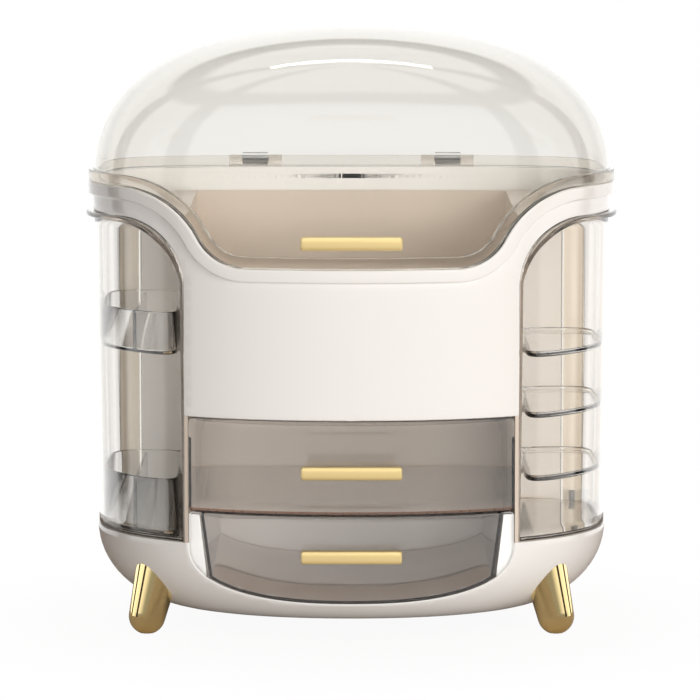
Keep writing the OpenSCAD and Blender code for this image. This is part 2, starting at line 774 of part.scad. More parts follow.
module lower_drawer_tub() {
    color("dimgray", 0.6) intersection() {
        difference() {
            along_y(-far, lower_tub_back) tub_2d(0);
            along_y(-2 * far, lower_tub_back - tub_wall) tub_2d(tub_wall);
        }
        bowl(front_t, far);
    }
    top = shelf_z - shelf_t - gap;
    module tub_2d(d) {
        lift = d > 0 ? far : 0;
        intersection() {
            polygon([[d - lower_tub_foot, smile_z], [lower_tub_foot - d, smile_z],
                     [lower_tub_top - d, top], [lower_tub_top - d, top + lift],
                     [d - lower_tub_top, top + lift], [d - lower_tub_top, top]]);
            polygon(smile_outline(play + d, top + far));
        }
    }
}

// ---- doors: drawn for the right side, and mirrored for the left ----

// rib_heights are the undersides of the tiers that the shell carries.
module door_shell(rib_heights) {
    z0 = door_floor_z;
    color("wheat", 0.5) difference() {
        union() {
            intersection() {
                ring(body_plan(door_inset), body_plan(door_face), z0, arch_z);
                along_y(-far, hinge_y) arch_2d(gap, z0);
            }
            // floor
            translate([0, 0, z0]) linear_extrude(door_floor) door_plan_2d(door_inset + door_wall / 2, 0, 0);
            // outward lip along the arch, and the edge strip turned inwards behind it
            intersection() {
                union() {
                    ring(body_plan(-lip_out), body_plan(door_face), z0, arch_z);
                    ring(body_plan(door_inset), body_plan(door_inset + lip_in), z0, arch_z);
                }
                along_y(-far, hinge_y - 2 * post_r) difference() { arch_2d(gap, z0); arch_2d(gap + lip_t, -far); }
                union() {
                    translate([arch_x - arch_r / 2, -far, z0]) cube([far, 2 * far, far]);
                    slab(body_plan(door_inset), z0, arch_z);
                }
            }
            // hinge post
            translate([hinge_x, hinge_y, z0]) cylinder(r = post_r, h = arch_z - play - z0);
            // ribs that carry the tiers
            for (z = rib_heights) intersection() {
                ring(body_plan(door_inset + door_wall / 2), body_plan(door_face + rib), z - rib, z);
                translate([door_x, -far, 0]) cube([far, far + hinge_y - post_r, far]);
            }
        }
        for (z = [z0, arch_z - pin_grip]) translate([hinge_x, hinge_y, z - cut])
            cylinder(r = pin_r + pin_clear, h = pin_grip + 2 * cut);
    }
}

// The plan of a tier, drawn in by d: clear of the door's wall, its edge strip and its post.
module tier_plan_2d(d) { door_plan_2d(door_face + play + d, gap + lip_t + play + d, 2 * post_r + d); }

// A left tier: a bin with a low wall round it and one divider.
module tier(z, wall_h) {
    color("navajowhite", 0.6) {
        translate([0, 0, z]) linear_extrude(tier_wall) tier_plan_2d(0);
        translate([0, 0, z]) linear_extrude(wall_h) difference() {
            tier_plan_2d(0);
            tier_plan_2d(tier_wall);
        }
        translate([0, 0, z]) linear_extrude(wall_h) intersection() {
            tier_plan_2d(0);
            translate([(door_x + body_half - tier_wall) / 2, -far]) square([tier_wall, 2 * far]);
        }
    }
}

// A right shelf: a plate with a rolled edge.
module right_shelf(z) {
    color("navajowhite", 0.6) translate([0, 0, z - right_shelf_t]) {
        linear_extrude(right_shelf_t) tier_plan_2d(0);
        linear_extrude(roll_h) difference() {
            tier_plan_2d(0);
            tier_plan_2d(roll_t);
        }
    }
}

module on_cabinet() { translate([0, y_shift, 0]) children(); }
module left() { mirror([1, 0, 0]) children(); }

on_cabinet() base_pan();
on_cabinet() leg(-1, -1);  // leg_front_left
on_cabinet() leg(1, -1);  // leg_front_right
on_cabinet() leg(-1, 1);  // leg_rear_left
on_cabinet() leg(1, 1);  // leg_rear_right
on_cabinet() leg_screws();
on_cabinet() column();
on_cabinet() drawer_shelf();
on_cabinet() body_shell();
on_cabinet() top_tray();
on_cabinet() deck_screws();
on_cabinet() case_screws();
on_cabinet() lid_hinge_pins();
on_cabinet() left() door_pins();  // left_door_pins
on_cabinet() door_pins();  // right_door_pins
on_cabinet() lid_dome();
on_cabinet() handle_bar(2);  // lid_handle
on_cabinet() handle_screws(2, lid_wall);  // lid_handle_screws
on_cabinet() upper_drawer_front();
on_cabinet() upper_drawer_tub();
on_cabinet() handle_bar(1);  // upper_drawer_handle
on_cabinet() handle_screws(1, front_t);  // upper_handle_screws
on_cabinet() lower_drawer_front();
on_cabinet() lower_drawer_tub();
on_cabinet() handle_bar(0);  // lower_drawer_handle
on_cabinet() handle_screws(0, front_t);  // lower_handle_screws
on_cabinet() left() door_shell([left_tier_z]);  // left_door_shell
on_cabinet() left() tier(door_floor_z + door_floor, lower_wall_h);  // left_tier_lower
on_cabinet() left() tier(left_tier_z, upper_wall_h);  // left_tier_upper
on_cabinet() door_shell([for (z = right_shelf_z) z - right_shelf_t]);  // right_door_shell
on_cabinet() right_shelf(right_shelf_z[0]);  // right_shelf_low
on_cabinet() right_shelf(right_shelf_z[1]);  // right_shelf_mid
on_cabinet() right_shelf(right_shelf_z[2]);  // right_shelf_high
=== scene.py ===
"""Looks of the makeup organizer: a white cabinet on gold legs, with a clear domed lid, two clear
drawers and a tinted clear door with its own tiers on each side.

Shapes are worked out in millimetres in the cabinet's own frame, whose y is 0 at the plan's centre.
+X is right, +Y is the back and +Z is up. FINE is the number of points that a curve is measured with, and
STEP is the spacing in millimetres of the points of a plan that is rounded by averaging.
"""
from __future__ import annotations

import logging
import math
from dataclasses import dataclass, field
from enum import Enum
from functools import partial
from typing import Callable

import bmesh
import bpy
import numpy as np
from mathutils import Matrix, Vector
from mathutils.geometry import delaunay_2d_cdt

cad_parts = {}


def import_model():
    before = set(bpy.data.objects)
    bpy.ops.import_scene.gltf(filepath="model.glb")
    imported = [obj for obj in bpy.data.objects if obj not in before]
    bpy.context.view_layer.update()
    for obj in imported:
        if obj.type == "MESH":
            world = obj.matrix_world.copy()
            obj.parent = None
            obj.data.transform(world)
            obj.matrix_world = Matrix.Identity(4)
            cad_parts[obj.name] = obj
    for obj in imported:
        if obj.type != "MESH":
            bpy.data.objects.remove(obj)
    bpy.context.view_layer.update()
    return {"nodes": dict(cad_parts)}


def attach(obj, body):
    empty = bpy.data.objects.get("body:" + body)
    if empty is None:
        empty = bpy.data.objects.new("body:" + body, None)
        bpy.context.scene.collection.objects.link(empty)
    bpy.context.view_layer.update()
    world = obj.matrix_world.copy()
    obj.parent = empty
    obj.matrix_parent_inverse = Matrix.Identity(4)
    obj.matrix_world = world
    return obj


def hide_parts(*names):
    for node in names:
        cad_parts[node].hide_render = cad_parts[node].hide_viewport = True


Array = np.ndarray
Point = tuple[float, float]
Surface = Callable[[Array, Array, Array], Array]
Tree = bpy.types.NodeTree
Node = bpy.types.Node
Socket = bpy.types.NodeSocket
MM = 0.001
CREASE = math.radians(32)
FINE = 8001
STEP = 1.25
LOG = logging.getLogger("organizer")


# ---- plain geometry ----

def power(value: Array, exponent: float) -> Array:
    """Returns |value| to the exponent, with the sign of value."""
    return np.sign(value) * np.abs(value) ** exponent


def turn(start: float, end: float, steps: int, radius: float, centre: Point) -> Array:
    """Returns points on a circular arc: centre + radius (cos a, sin a), a in degrees from start to end."""
    angle = np.radians(np.linspace(start, end, steps + 1))
    return np.column_stack([centre[0] + radius * np.cos(angle), centre[1] + radius * np.sin(angle)])


def lengths(points: Array) -> Array:
    """Returns the distance walked along a line of points at each of them."""
    return np.concatenate([[0.0], np.cumsum(np.linalg.norm(np.diff(points, axis=0), axis=1))])


def even(points: Array, pitch: float, closed: bool = False) -> Array:
    """Returns a line walked again in equal steps.

    Args:
        points: the line's points, in order.
        pitch: the length of a step.
        closed: whether the last point joins the first.
    """
    line = np.vstack([points, points[:1]]) if closed else points
    walked = lengths(line)
    count = max(2, round(walked[-1] / pitch)) + 1
    at = np.linspace(0, walked[-1], count)
    result = np.column_stack([np.interp(at, walked, line[:, k]) for k in range(line.shape[1])])
    return result[:-1] if closed else result


def chain(*parts: Array) -> Array:
    """Returns the parts joined end to end, without the points that repeat."""
    line = np.vstack(parts)
    return line[np.concatenate([[True], np.linalg.norm(np.diff(line, axis=0), axis=1) > 1e-6])]


def walk(*corners: Array | Point, pitch: float = 4.0) -> Array:
    """Returns the straight lines from corner to corner in equal steps."""
    return chain(*(even(np.array([a, b]), pitch) for a, b in zip(corners, corners[1:])))


def rounded(corners: list[Point], radius: float, steps: int) -> Array:
    """Returns a closed outline with every corner turned into an arc-like curve.

    Each corner becomes the quadratic curve (1-s)^2 a + 2 s (1-s) corner + s^2 b, where a and b lie at
    the radius, or at most half an edge, away from the corner along its two edges.

    Args:
        corners: the corners in order.
        radius: how far from a corner its curve starts.
        steps: pieces of each curve.
    """
    here = np.array(corners, float)
    s = np.linspace(0, 1, steps + 1)[None, :, None]
    legs = [np.roll(here, 1, axis=0) - here, np.roll(here, -1, axis=0) - here]
    size = [np.linalg.norm(leg, axis=1, keepdims=True) for leg in legs]
    reach = np.minimum(radius, np.minimum(size[0], size[1]) / 2)
    a, b = (here + leg / n * reach for leg, n in zip(legs, size))
    curve = (1 - s) ** 2 * a[:, None] + 2 * s * (1 - s) * here[:, None] + s ** 2 * b[:, None]
    return curve.reshape(-1, 2)


def softened(outline: Array, width: float) -> Array:
    """Returns a closed outline in steps of STEP, with its corners rounded by averaging over a width."""
    outline = even(outline, STEP, closed=True)
    half = max(1, round(width / np.linalg.norm(outline[1] - outline[0]) / 2))
    for _ in range(2):
        outline = sum(np.roll(outline, k, axis=0) for k in range(-half, half + 1)) / (2 * half + 1)
    return outline


# ---- meshes ----

@dataclass
class Form:
    """A mesh in the making: corners in millimetres and faces as lists of corner numbers."""

    points: Array = field(default_factory=lambda: np.zeros((0, 3)))
    faces: list[list[int]] = field(default_factory=list)

    def add(self, points: Array, faces: Array | list) -> "Form":
        """Adds points and the faces between them, and returns the form itself."""
        first = len(self.points)
        rows = faces.tolist() if isinstance(faces, np.ndarray) else faces
        self.points = np.vstack([self.points, points.reshape(-1, 3)])
        self.faces += [[first + k for k in face] for face in rows]
        return self

    def join(self, other: "Form") -> "Form":
        """Adds another form's points and faces, and returns the form itself."""
        return self.add(other.points, other.faces)

    def mirrored(self) -> "Form":
        """Returns a copy on the other side of the centre plane, with its faces turned back outwards."""
        return Form(self.points * [-1, 1, 1], [face[::-1] for face in self.faces])


def grid(points: Array, along: bool = False, capped: bool = False) -> Form:
    """Returns a form over a grid of points, whose last column joins the first.

    Args:
        points: corners as rows, columns and x, y, z.
        along: whether the last row joins the first.
        capped: whether the first and the last row are closed with a face each.
    """
    rows, cols = points.shape[:2]
    r, c = np.meshgrid(np.arange(rows - (not along)), np.arange(cols), indexing="ij")
    r2, c2 = (r + 1) % rows, (c + 1) % cols
    corner = np.stack([r * cols + c, r * cols + c2, r2 * cols + c2, r2 * cols + c], axis=-1)
    form = Form().add(points, corner.reshape(-1, 4))
    if capped:
        form.faces += [list(range(cols))[::-1], list(range((rows - 1) * cols, rows * cols))]
    return form


def beam(section: Array, start: float, end: float) -> Form:
    """Returns a closed section in y and z carried along X from start to end."""
    place = np.broadcast_arrays(np.array([[start], [end]]), section[:, 0], section[:, 1])
    return grid(np.stack(place, -1), capped=True)


def turned(profile: Array, steps: int) -> Form:
    """Returns a profile of radius and height turned once about the Z axis: (r cos a, r sin a, h)."""
    angle = np.arange(steps) * 2 * np.pi / steps
    r, h = profile[:, :1], profile[:, 1:]
    return grid(np.stack([r * np.cos(angle), r * np.sin(angle), h + 0 * angle], axis=-1))


def edge_distance(points: Array, lines: list[Array]) -> Array:
    """Returns how far each point is from the nearest of the lines, measured to their segments."""
    best = np.full(len(points), np.inf)
    for line in lines:
        a, b = line[:-1], line[1:]
        run = b - a
        for start in range(0, len(points), 2000):
            p = points[start:start + 2000, None]
            s = np.clip(((p - a) * run).sum(-1) / np.maximum((run ** 2).sum(-1), 1e-12), 0, 1)
            away = np.linalg.norm(p - a - s[..., None] * run, axis=-1).min(1)
            best[start:start + 2000] = np.minimum(best[start:start + 2000], away)
    return best


def carried_back(section: Array, start: Array, end: Array | float, rows: int) -> Form:
    """Returns a section in x and z drawn in even rows from one y to another, both given point by point."""
    share = np.linspace(0, 1, rows)[:, None]
    y = start * (1 - share) + end * share
    return grid(np.stack(np.broadcast_arrays(section[:, 0], y, section[:, 1]), -1))


def inside(points: Array, outline: Array) -> Array:
    """Returns which points lie in a closed outline, by counting the edges to the right of each."""
    a, b = outline, np.roll(outline, -1, axis=0)
    x, y = points[:, :1], points[:, 1:]
    spans = (a[:, 1] > y) != (b[:, 1] > y)
    rise = np.where(b[:, 1] == a[:, 1], 1, b[:, 1] - a[:, 1])
    return (spans & (x < a[:, 0] + (y - a[:, 1]) * (b[:, 0] - a[:, 0]) / rise)).sum(1) % 2 == 1


def inset_line(line: Array, depth: float, closed: bool = False) -> Array:
    """Returns a line moved to its left by a depth, with its corners mitred."""
    if closed:
        before, after = line - np.roll(line, 1, axis=0), np.roll(line, -1, axis=0) - line
    else:
        run = np.diff(line, axis=0)
        before, after = np.vstack([run[:1], run]), np.vstack([run, run[-1:]])
    left = [np.column_stack([-v[:, 1], v[:, 0]]) / np.linalg.norm(v, axis=1, keepdims=True)
            for v in (before, after)]
    normal = left[0] + left[1]
    return line + depth * 2 * normal / np.maximum((normal ** 2).sum(1, keepdims=True), 0.5)


def plate(lines: list[Array], surface: Surface, thick: float, edge: float, pitch: Point) -> Form:
    """Returns a plate with rounded edges that lies on a curved surface.

    The plate's outline is drawn flat, in two parameters u and v. Its front is surface(u, v, depth)
    with the depth of a round edge, e - sqrt(e^2 - (e - d)^2) at distance d inside the outline, and its
    back is the same at the plate's thickness.

    Args:
        lines: one closed outline, counter-clockwise, or two open ones whose ends meet at a seam.
        surface: gives the place in space of arrays of u, v and depth.
        thick: the plate's thickness.
        edge: the radius of its edges.
        pitch: the spacing of the points inside it, in u and in v.
    """
    closed = len(lines) == 1
    outline = np.vstack(lines)
    low, high = outline.min(0), outline.max(0)
    seams = [] if closed else [low[0], high[0]]
    borders = [np.vstack([line, line[:1]]) if closed else line for line in lines]
    flat = [inset_line(line, depth, closed) for line in lines for depth in edge * np.array([0, 0.12, 0.42, 1.0])]
    counts = np.maximum(1, np.round((high - low) / pitch)).astype(int)
    u, v = (np.linspace(low[k], high[k], counts[k] + 1) for k in (0, 1))
    spots = np.stack(np.meshgrid(u, v), axis=-1).reshape(-1, 2)
    on_seam = np.zeros(len(spots), bool)
    if not closed:
        # the two sides of a seam have the same points, on the outline itself
        spots = spots[(spots[:, 1] < high[1] - edge * 1.5) & (spots[:, 1] > low[1] + edge * 1.5)]
        on_seam = np.abs(spots[:, :1] - seams).min(1) < 1e-9
    within = inside(spots, outline) & (edge_distance(spots, borders) > edge * 1.4 + 0.25 * min(pitch))
    spots = spots[within | on_seam]
    links, first = [], 0
    for loop in flat:
        number = np.arange(first, first + len(loop))
        pairs = np.column_stack([number, np.roll(number, -1)])
        links += (pairs if closed else pairs[:-1]).tolist()
        first += len(loop)
    cloud = np.vstack(flat + [spots])
    for side in seams:
        order = np.where(np.abs(cloud[:, 0] - side) < 1e-9)[0]
        order = order[np.argsort(cloud[order, 1])]
        links += np.column_stack([order[:-1], order[1:]]).tolist()
    found = delaunay_2d_cdt([Vector(p) for p in cloud.tolist()], links, [], 1, 1e-7)
    spot, faces = np.array([list(p) for p in found[0]]), np.array(found[2])
    cuts = np.stack([faces, np.roll(faces, -1, axis=1)], axis=-1).reshape(-1, 2)
    _, where, times = np.unique(np.sort(cuts, axis=1), axis=0, return_index=True, return_counts=True)
    rim = cuts[where[times == 1]]
    for side in seams:
        rim = rim[~(np.abs(spot[rim][:, :, 0] - side) < 1e-3).all(1)]
    near = np.clip(edge_distance(spot, borders), 0, edge)
    sink = edge - np.sqrt(np.maximum(0, edge ** 2 - (edge - near) ** 2))
    n = len(spot)
    sides = np.column_stack([rim[:, 1], rim[:, 0], rim[:, 0] + n, rim[:, 1] + n])
    form = Form().add(np.vstack([surface(*spot.T, sink), surface(*spot.T, thick - sink)]), faces)
    form.faces += (faces[:, ::-1] + n).tolist() + sides.tolist()
    return form


def tray(outline: Callable[[float], Array], rows: Array) -> Form:
    """Returns a closed tub whose outline is carried up the outside, over the rim and down the inside.

    Args:
        outline: gives the plan, with equal numbers of points, for an inset.
        rows: inset and height of each row. The first and the last row are closed at their middle, with a
            level ring inside each that keeps the middle flat in the light.
    """
    level = np.array([[1.2, 0]])
    rings = []
    for inset, z in np.vstack([rows[:1] + level, rows, rows[-1:] + level]):
        plan = outline(inset)
        rings.append(np.column_stack([plan, np.full(len(plan), z)]))
    start, end = (ring * 0 + ring.mean(0) for ring in (rings[0], rings[-1]))
    return grid(np.stack([start, *rings, end]))


def tub_rows(z0: float, z1: float, wall: float, edge: float) -> Array:
    """Returns the rows of a tub: inset and height from its underside, over its rim, to its floor."""
    foot = turn(270, 180, 3, edge, (edge, z0 + edge))
    rim = turn(180, 0, 6, wall / 2, (wall / 2, z1 - min(edge, wall / 2 - 0.05)))
    inner = foot[::-1] + wall
    return np.vstack([foot[:1] + [0.3, 0], foot, rim, inner, inner[-1:] + [0.3, 0]])


# ---- the cabinet's outlines ----

@dataclass(frozen=True)
class Cabinet:
    """The cabinet's driving sizes in millimetres, and the outlines that its pieces share."""

    body_half: float = 161.0
    front_depth: float = 118.0
    back_depth: float = 106.0
    front_round: float = 2.1
    back_round: float = 5.0
    body_wall: float = 2.6
    panel_z: float = 138.7
    shoulder_z: float = 276.0
    valley_z: float = 230.0
    valley_half: float = 64.0
    valley_r: float = 32.0
    shoulder_x: float = 140.0
    border_h: float = 8.0
    border_out: float = 3.0
    base_half: float = 158.5
    base_front: float = 117.5
    base_z: float = 10.5
    deck_z: float = 61.0
    tuck_x: float = 60.0
    tuck_y: float = 50.0
    bay_half: float = 99.4
    bay_back: float = 95.0
    column_wall: float = 2.2
    shelf_z: float = 81.0
    shelf_t: float = 2.2
    smile_h: float = 37.2
    smile_round: float = 2.5
    arch_z: float = 258.0
    arch_r: float = 40.0
    hinge_y: float = 76.0
    hinge_in: float = 9.5
    swing_space: float = 2.4
    door_inset: float = 1.5
    dome_z: float = 373.5
    dome_round_x: float = 2.35
    dome_round_y: float = 3.2
    gap: float = 0.4
    play: float = 0.3
    handle_gap: float = 4.0
    handle_d: float = 8.0
    barrel_r: float = 4.0
    hinge_w: float = 34.0
    hinge_pitch: float = 62.0

    @property
    def door_x(self) -> float:
        """Returns the distance of a door's open side from the centre plane."""
        return self.bay_half + self.column_wall + self.gap

    @property
    def arch_x(self) -> float:
        """Returns where the door arch becomes level."""
        return self.door_x + self.arch_r

    @property
    def lid_axis(self) -> tuple[float, float]:
        """Returns y and z of the lid's hinge axis."""
        return (self.back_depth + self.border_out + self.barrel_r + self.gap,
                self.shoulder_z + self.play + self.barrel_r)

    @property
    def y_shift(self) -> float:
        """Returns how far the plan's centre lies behind the middle of the whole box."""
        return (self.front_depth + self.handle_gap + self.handle_d - self.lid_axis[0] - self.barrel_r) / 2

    @property
    def hinge_x(self) -> float:
        """Returns the distance of the door hinges from the centre plane."""
        share = (1 - (self.hinge_y / (self.back_depth - self.door_inset)) ** self.back_round)
        return (self.body_half - self.door_inset) * share ** (1 / self.back_round) - self.hinge_in

    def superellipse(self, t: Array, a: Array, b: Array, c: Array) -> Array:
        """Returns the points a cos^(2/n) t, b or c sin^(2/n) t, with n of the front or of the back.

        Args:
            t: angles in radians, 0 at the right and rising towards the back.
            a: half width.
            b: depth of the front half.
            c: depth of the back half.
        """
        front = np.sin(t) < 0
        n = np.where(front, self.front_round, self.back_round)
        return np.stack([a * power(np.cos(t), 2 / n), np.where(front, b, c) * power(np.sin(t), 2 / n)], -1)

    def plan(self, t: Array, inset: Array | float = 0.0) -> Array:
        """Returns the body's plan at angles t, drawn in by an inset."""
        return self.superellipse(t, self.body_half - inset, self.front_depth - inset, self.back_depth - inset)

    def front_curve(self, x: Array | float, a: Array | float, b: Array | float) -> Array:
        """Returns the y at x of a front with half width a and depth b: a superellipse."""
        return -b * np.clip(1 - (np.abs(x) / a) ** self.front_round, 0, 1) ** (1 / self.front_round)

    def front_y(self, x: Array, inset: Array | float = 0.0) -> Array:
        """Returns the y of the body's front at x, drawn in by an inset."""
        return self.front_curve(x, self.body_half - inset, self.front_depth - inset)

    def front_angle(self, share: Array) -> Array:
        """Returns the plan angle of a front at x, given as a share of the front's half width."""
        return -np.arccos(np.clip(power(share, self.front_round / 2), -1, 1))

    def back_angle(self, y: float) -> float:
        """Returns the plan angle of the right back half at depth y."""
        return math.asin((y / self.back_depth) ** (self.back_round / 2))

    def tuck(self, z: Array, inset: Array | float = 0.0) -> Array:
        """Returns how far the bowl has drawn in at height z: 1 - sin a, where cos a is the share of its drop."""
        drop = np.clip((self.deck_z - z) / (self.deck_z - self.base_z - inset), 0, 1)
        return 1 - np.sqrt(1 - drop ** 2)

    def bowl_sizes(self, tuck: Array, inset: Array | float = 0.0) -> tuple[Array, Array, Array]:
        """Returns the bowl's half width, front depth and back depth where it has drawn in by a tuck."""
        return (self.base_half - inset - self.tuck_x * tuck, self.base_front - inset - self.tuck_y * tuck,
                self.back_depth - inset - self.tuck_y * tuck)

    def bowl_front_y(self, x: Array, z: Array, inset: Array | float = 0.0) -> Array:
        """Returns the y of the bowl's front at x and z, drawn in by an inset."""
        return self.front_curve(x, *self.bowl_sizes(self.tuck(z, inset), inset)[:2])

    def collar(self, x: Array, up: Array | float) -> Array:
        """Returns the collar's height at x, moved up along its own normal.

        It is level at the front centre, turns up on one arc, over on another, and is level again.
        """
        rise = 2 * math.atan((self.shoulder_z - self.valley_z) / (self.shoulder_x - self.valley_half))
        shoulder_r = (self.shoulder_x - self.valley_half) / math.sin(rise) - self.valley_r
        x, up = np.broadcast_arrays(np.abs(x), up)
        low_r, high_r = self.valley_r - up, shoulder_r + up
        low = self.valley_z + self.valley_r - np.sqrt(np.maximum(0, low_r ** 2 - (x - self.valley_half) ** 2))
        high = self.shoulder_z - shoulder_r + np.sqrt(np.maximum(0, high_r ** 2 - (self.shoulder_x - x) ** 2))
        z = np.where(x < self.valley_half + low_r * math.sin(rise), low, high)
        z = np.where(x < self.valley_half, self.valley_z + up, z)
        return np.where(x > self.shoulder_x, self.shoulder_z + up, z)

    def level(self, plan: Array, up: Array | float) -> Array:
        """Returns the collar's height over points of a plan: its curve in front, level behind."""
        return np.where(plan[..., 1] < 0, self.collar(plan[..., 0], up), self.shoulder_z + up)

    def smile(self, inset: float = 0.0, steps: int = 48) -> Array:
        """Returns the lower drawer's curve in x and z, from left to right: a superellipse under the deck."""
        t = np.radians(np.linspace(180, 360, steps + 1))
        n = self.smile_round
        return np.column_stack([(self.bay_half - inset) * power(np.cos(t), 2 / n),
                                self.deck_z + (self.smile_h - inset) * power(np.sin(t), 2 / n)])

    def even_angles(self, count: int) -> Array:
        """Returns plan angles of points evenly spaced round the body."""
        t = np.linspace(0, 2 * np.pi, FINE)
        walked = lengths(self.plan(t))
        return np.interp(np.arange(count) * walked[-1] / count, walked, t)


CAB = Cabinet()


class Unrolled:
    """The body's plan laid flat: u is the distance walked from the middle of the back, round the left side."""

    def __init__(self) -> None:
        """Works out plan angles and the distance walked at each of them."""
        self.angles = math.pi / 2 + np.linspace(0, 2 * np.pi, FINE)
        self.walked = lengths(CAB.plan(self.angles))
        self.whole = float(self.walked[-1])

    def angle(self, u: Array) -> Array:
        """Returns the plan angle at distance u."""
        return np.interp(u, self.walked, self.angles)

    def at(self, t: Array | float) -> Array:
        """Returns the distance at plan angle t, which may be given in any turn."""
        start = math.pi / 2
        return np.interp((np.asarray(t) - start) % (2 * np.pi) + start, self.angles, self.walked)


UNROLLED = Unrolled()


def panel(outline: Array, front: Surface, thick: float, edge: float, pitch: Point) -> Form:
    """Returns a plate drawn in x and z, on a front whose y at x, z and depth is given."""
    def face(x: Array, z: Array, depth: Array) -> Array:
        """Returns the front's face at x and z."""
        return np.column_stack([x, front(x, z, depth), z])
    return plate([outline], face, thick, edge, pitch)


def band(section: Array) -> Form:
    """Returns a section of outset and height carried round the body's plan, along the collar."""
    t = CAB.even_angles(480)
    z = CAB.level(CAB.plan(t)[None], section[:, 1:] + 0 * t)
    return grid(np.concatenate([CAB.plan(t[None], -section[:, :1]), z[..., None]], -1), along=True)


# ---- finishes ----

def linear(code: str) -> tuple[float, float, float, float]:
    """Returns an sRGB hex colour as linear red, green, blue and full alpha."""
    value = np.array([int(code[k:k + 2], 16) / 255 for k in (1, 3, 5)])
    value = np.where(value <= 0.04045, value / 12.92, ((value + 0.055) / 1.055) ** 2.4)
    return (*value.tolist(), 1.0)


def put(tree: Tree, kind: str, inputs: dict | None = None) -> Node:
    """Adds a node and returns it.

    Args:
        tree: the material's or the world's nodes.
        kind: the node's type without its ShaderNode prefix.
        inputs: a value, a socket or a node for each input. A node stands for its first output, and a name
            that no input has is an attribute of the node.
    """
    node = tree.nodes.new("ShaderNode" + kind)
    for name, value in (inputs or {}).items():
        if isinstance(value, (Node, Socket)):
            tree.links.new(value.outputs[0] if isinstance(value, Node) else value, node.inputs[name])
        elif isinstance(name, int) or name in node.inputs:
            node.inputs[name].default_value = value
        else:
            setattr(node, name, value)
    return node


def figure(tree: Tree, operation: str, first: Node | Socket, second: Node | Socket | float = 0.0) -> Node:
    """Returns a node that does an operation on one or two numbers."""
    return put(tree, "Math", {"operation": operation, 0: first, 1: second})


def ramp(tree: Tree, source: Node | Socket, start: float, end: float, low: float, high: float) -> Node:
    """Returns a node that maps a source between start and end to low and high, and holds them beyond."""
    return put(tree, "MapRange", {"From Min": start, "From Max": end, "To Min": low, "To Max": high,
                                  "Value": source})


def noise(tree: Tree, where: Node | Socket, length: float, detail: float) -> Node:
    """Returns a noise whose waves have a length in metres."""
    return put(tree, "TexNoise", {"Scale": 1 / length, "Detail": detail, "Vector": where})


def new_material(name: str) -> tuple[bpy.types.Material, Tree]:
    """Returns an empty material and its nodes."""
    material = bpy.data.materials.new(name)
    material.use_nodes = True
    material.node_tree.nodes.clear()
    return material, material.node_tree


@dataclass(frozen=True)
class Finish:
    """What every finish has: a name and a colour, and nodes that its kind adds."""

    name: str
    colour: str

    def build(self) -> bpy.types.Material:
        """Returns the material."""
        material, tree = new_material(self.name)
        put(tree, "OutputMaterial", self.shade(tree, put(tree, "TexCoord").outputs["Object"]))
        return material

    def shade(self, tree: Tree, where: Socket) -> dict[str, Node]:
        """Adds the finish's nodes and returns what feeds the material's output."""
        raise NotImplementedError(self.name)


class Polish(Enum):
    """How far a plastic's mould was polished: its mean roughness and the depth of its waves in mm."""

    GLOSS = (0.16, 0.006)
    SATIN = (0.32, 0.010)


@dataclass(frozen=True)
class MouldedPlastic(Finish):
    """Opaque ABS, injection moulded: an even colour under a gloss with the mould's faint waves."""

    polish: Polish = Polish.GLOSS

    def shade(self, tree: Tree, where: Socket) -> dict[str, Node]:
        """Returns the surface. Waves 14 mm long bend the gloss, and a 2.5 mm mottle varies it."""
        roughness, depth = self.polish.value
        gloss = ramp(tree, noise(tree, where, 0.0025, 2.0), 0.0, 1.0, roughness - 0.04, roughness + 0.05)
        bump = put(tree, "Bump", {"Strength": 0.35, "Distance": depth * MM,
                                  "Height": noise(tree, where, 0.014, 1.0)})
        return {"Surface": put(tree, "BsdfPrincipled", {
            "Base Color": linear(self.colour), "IOR": 1.53, "Coat Weight": 0.25, "Coat Roughness": 0.06,
            "Roughness": gloss, "Normal": bump})}


@dataclass(frozen=True)
class ClearPlastic(Finish):
    """Polystyrene, moulded clear: it reflects and bends light, and its colour deepens with its depth."""

    depth: float

    def shade(self, tree: Tree, where: Socket) -> dict[str, Node]:
        """Returns the surface and its depth. Lamps shine through it, so that what is inside stays bright."""
        bump = put(tree, "Bump", {"Strength": 0.3, "Distance": 0.02 * MM,
                                  "Height": noise(tree, where, 0.03, 1.0)})
        body = put(tree, "BsdfPrincipled", {"Base Color": (1, 1, 1, 1), "IOR": 1.5, "Transmission Weight": 1.0,
                                            "Roughness": 0.015, "Normal": bump})
        through = put(tree, "BsdfTransparent", {"Color": (1, 1, 1, 1)})
        ray = put(tree, "LightPath").outputs["Is Shadow Ray"]
        return {"Surface": put(tree, "MixShader", {0: ray, 1: body, 2: through}),
                "Volume": put(tree, "VolumeAbsorption", {"Color": linear(self.colour), "Density": self.depth})}


@dataclass(frozen=True)
class PlatedMetal(Finish):
    """Plated zinc: a coloured metal, polished or satin, with faint polishing lines."""

    roughness: float
    lines: float
    metallic: float = 1.0

    def shade(self, tree: Tree, where: Socket) -> dict[str, Node]:
        """Returns the surface. Lines 0.6 mm apart run along X and vary the gloss by the lines' strength."""
        stretched = put(tree, "Mapping", {"Scale": (1 / 0.03, 1 / 0.0006, 1 / 0.0006), "Vector": where})
        grain = noise(tree, stretched, 1.0, 2.0)
        return {"Surface": put(tree, "BsdfPrincipled", {
            "Base Color": linear(self.colour), "Metallic": self.metallic,
            "Roughness": ramp(tree, grain, 0.0, 1.0, self.roughness, self.roughness + self.lines),
            "Normal": put(tree, "Bump", {"Strength": 0.2, "Distance": 0.01 * MM, "Height": grain})})}


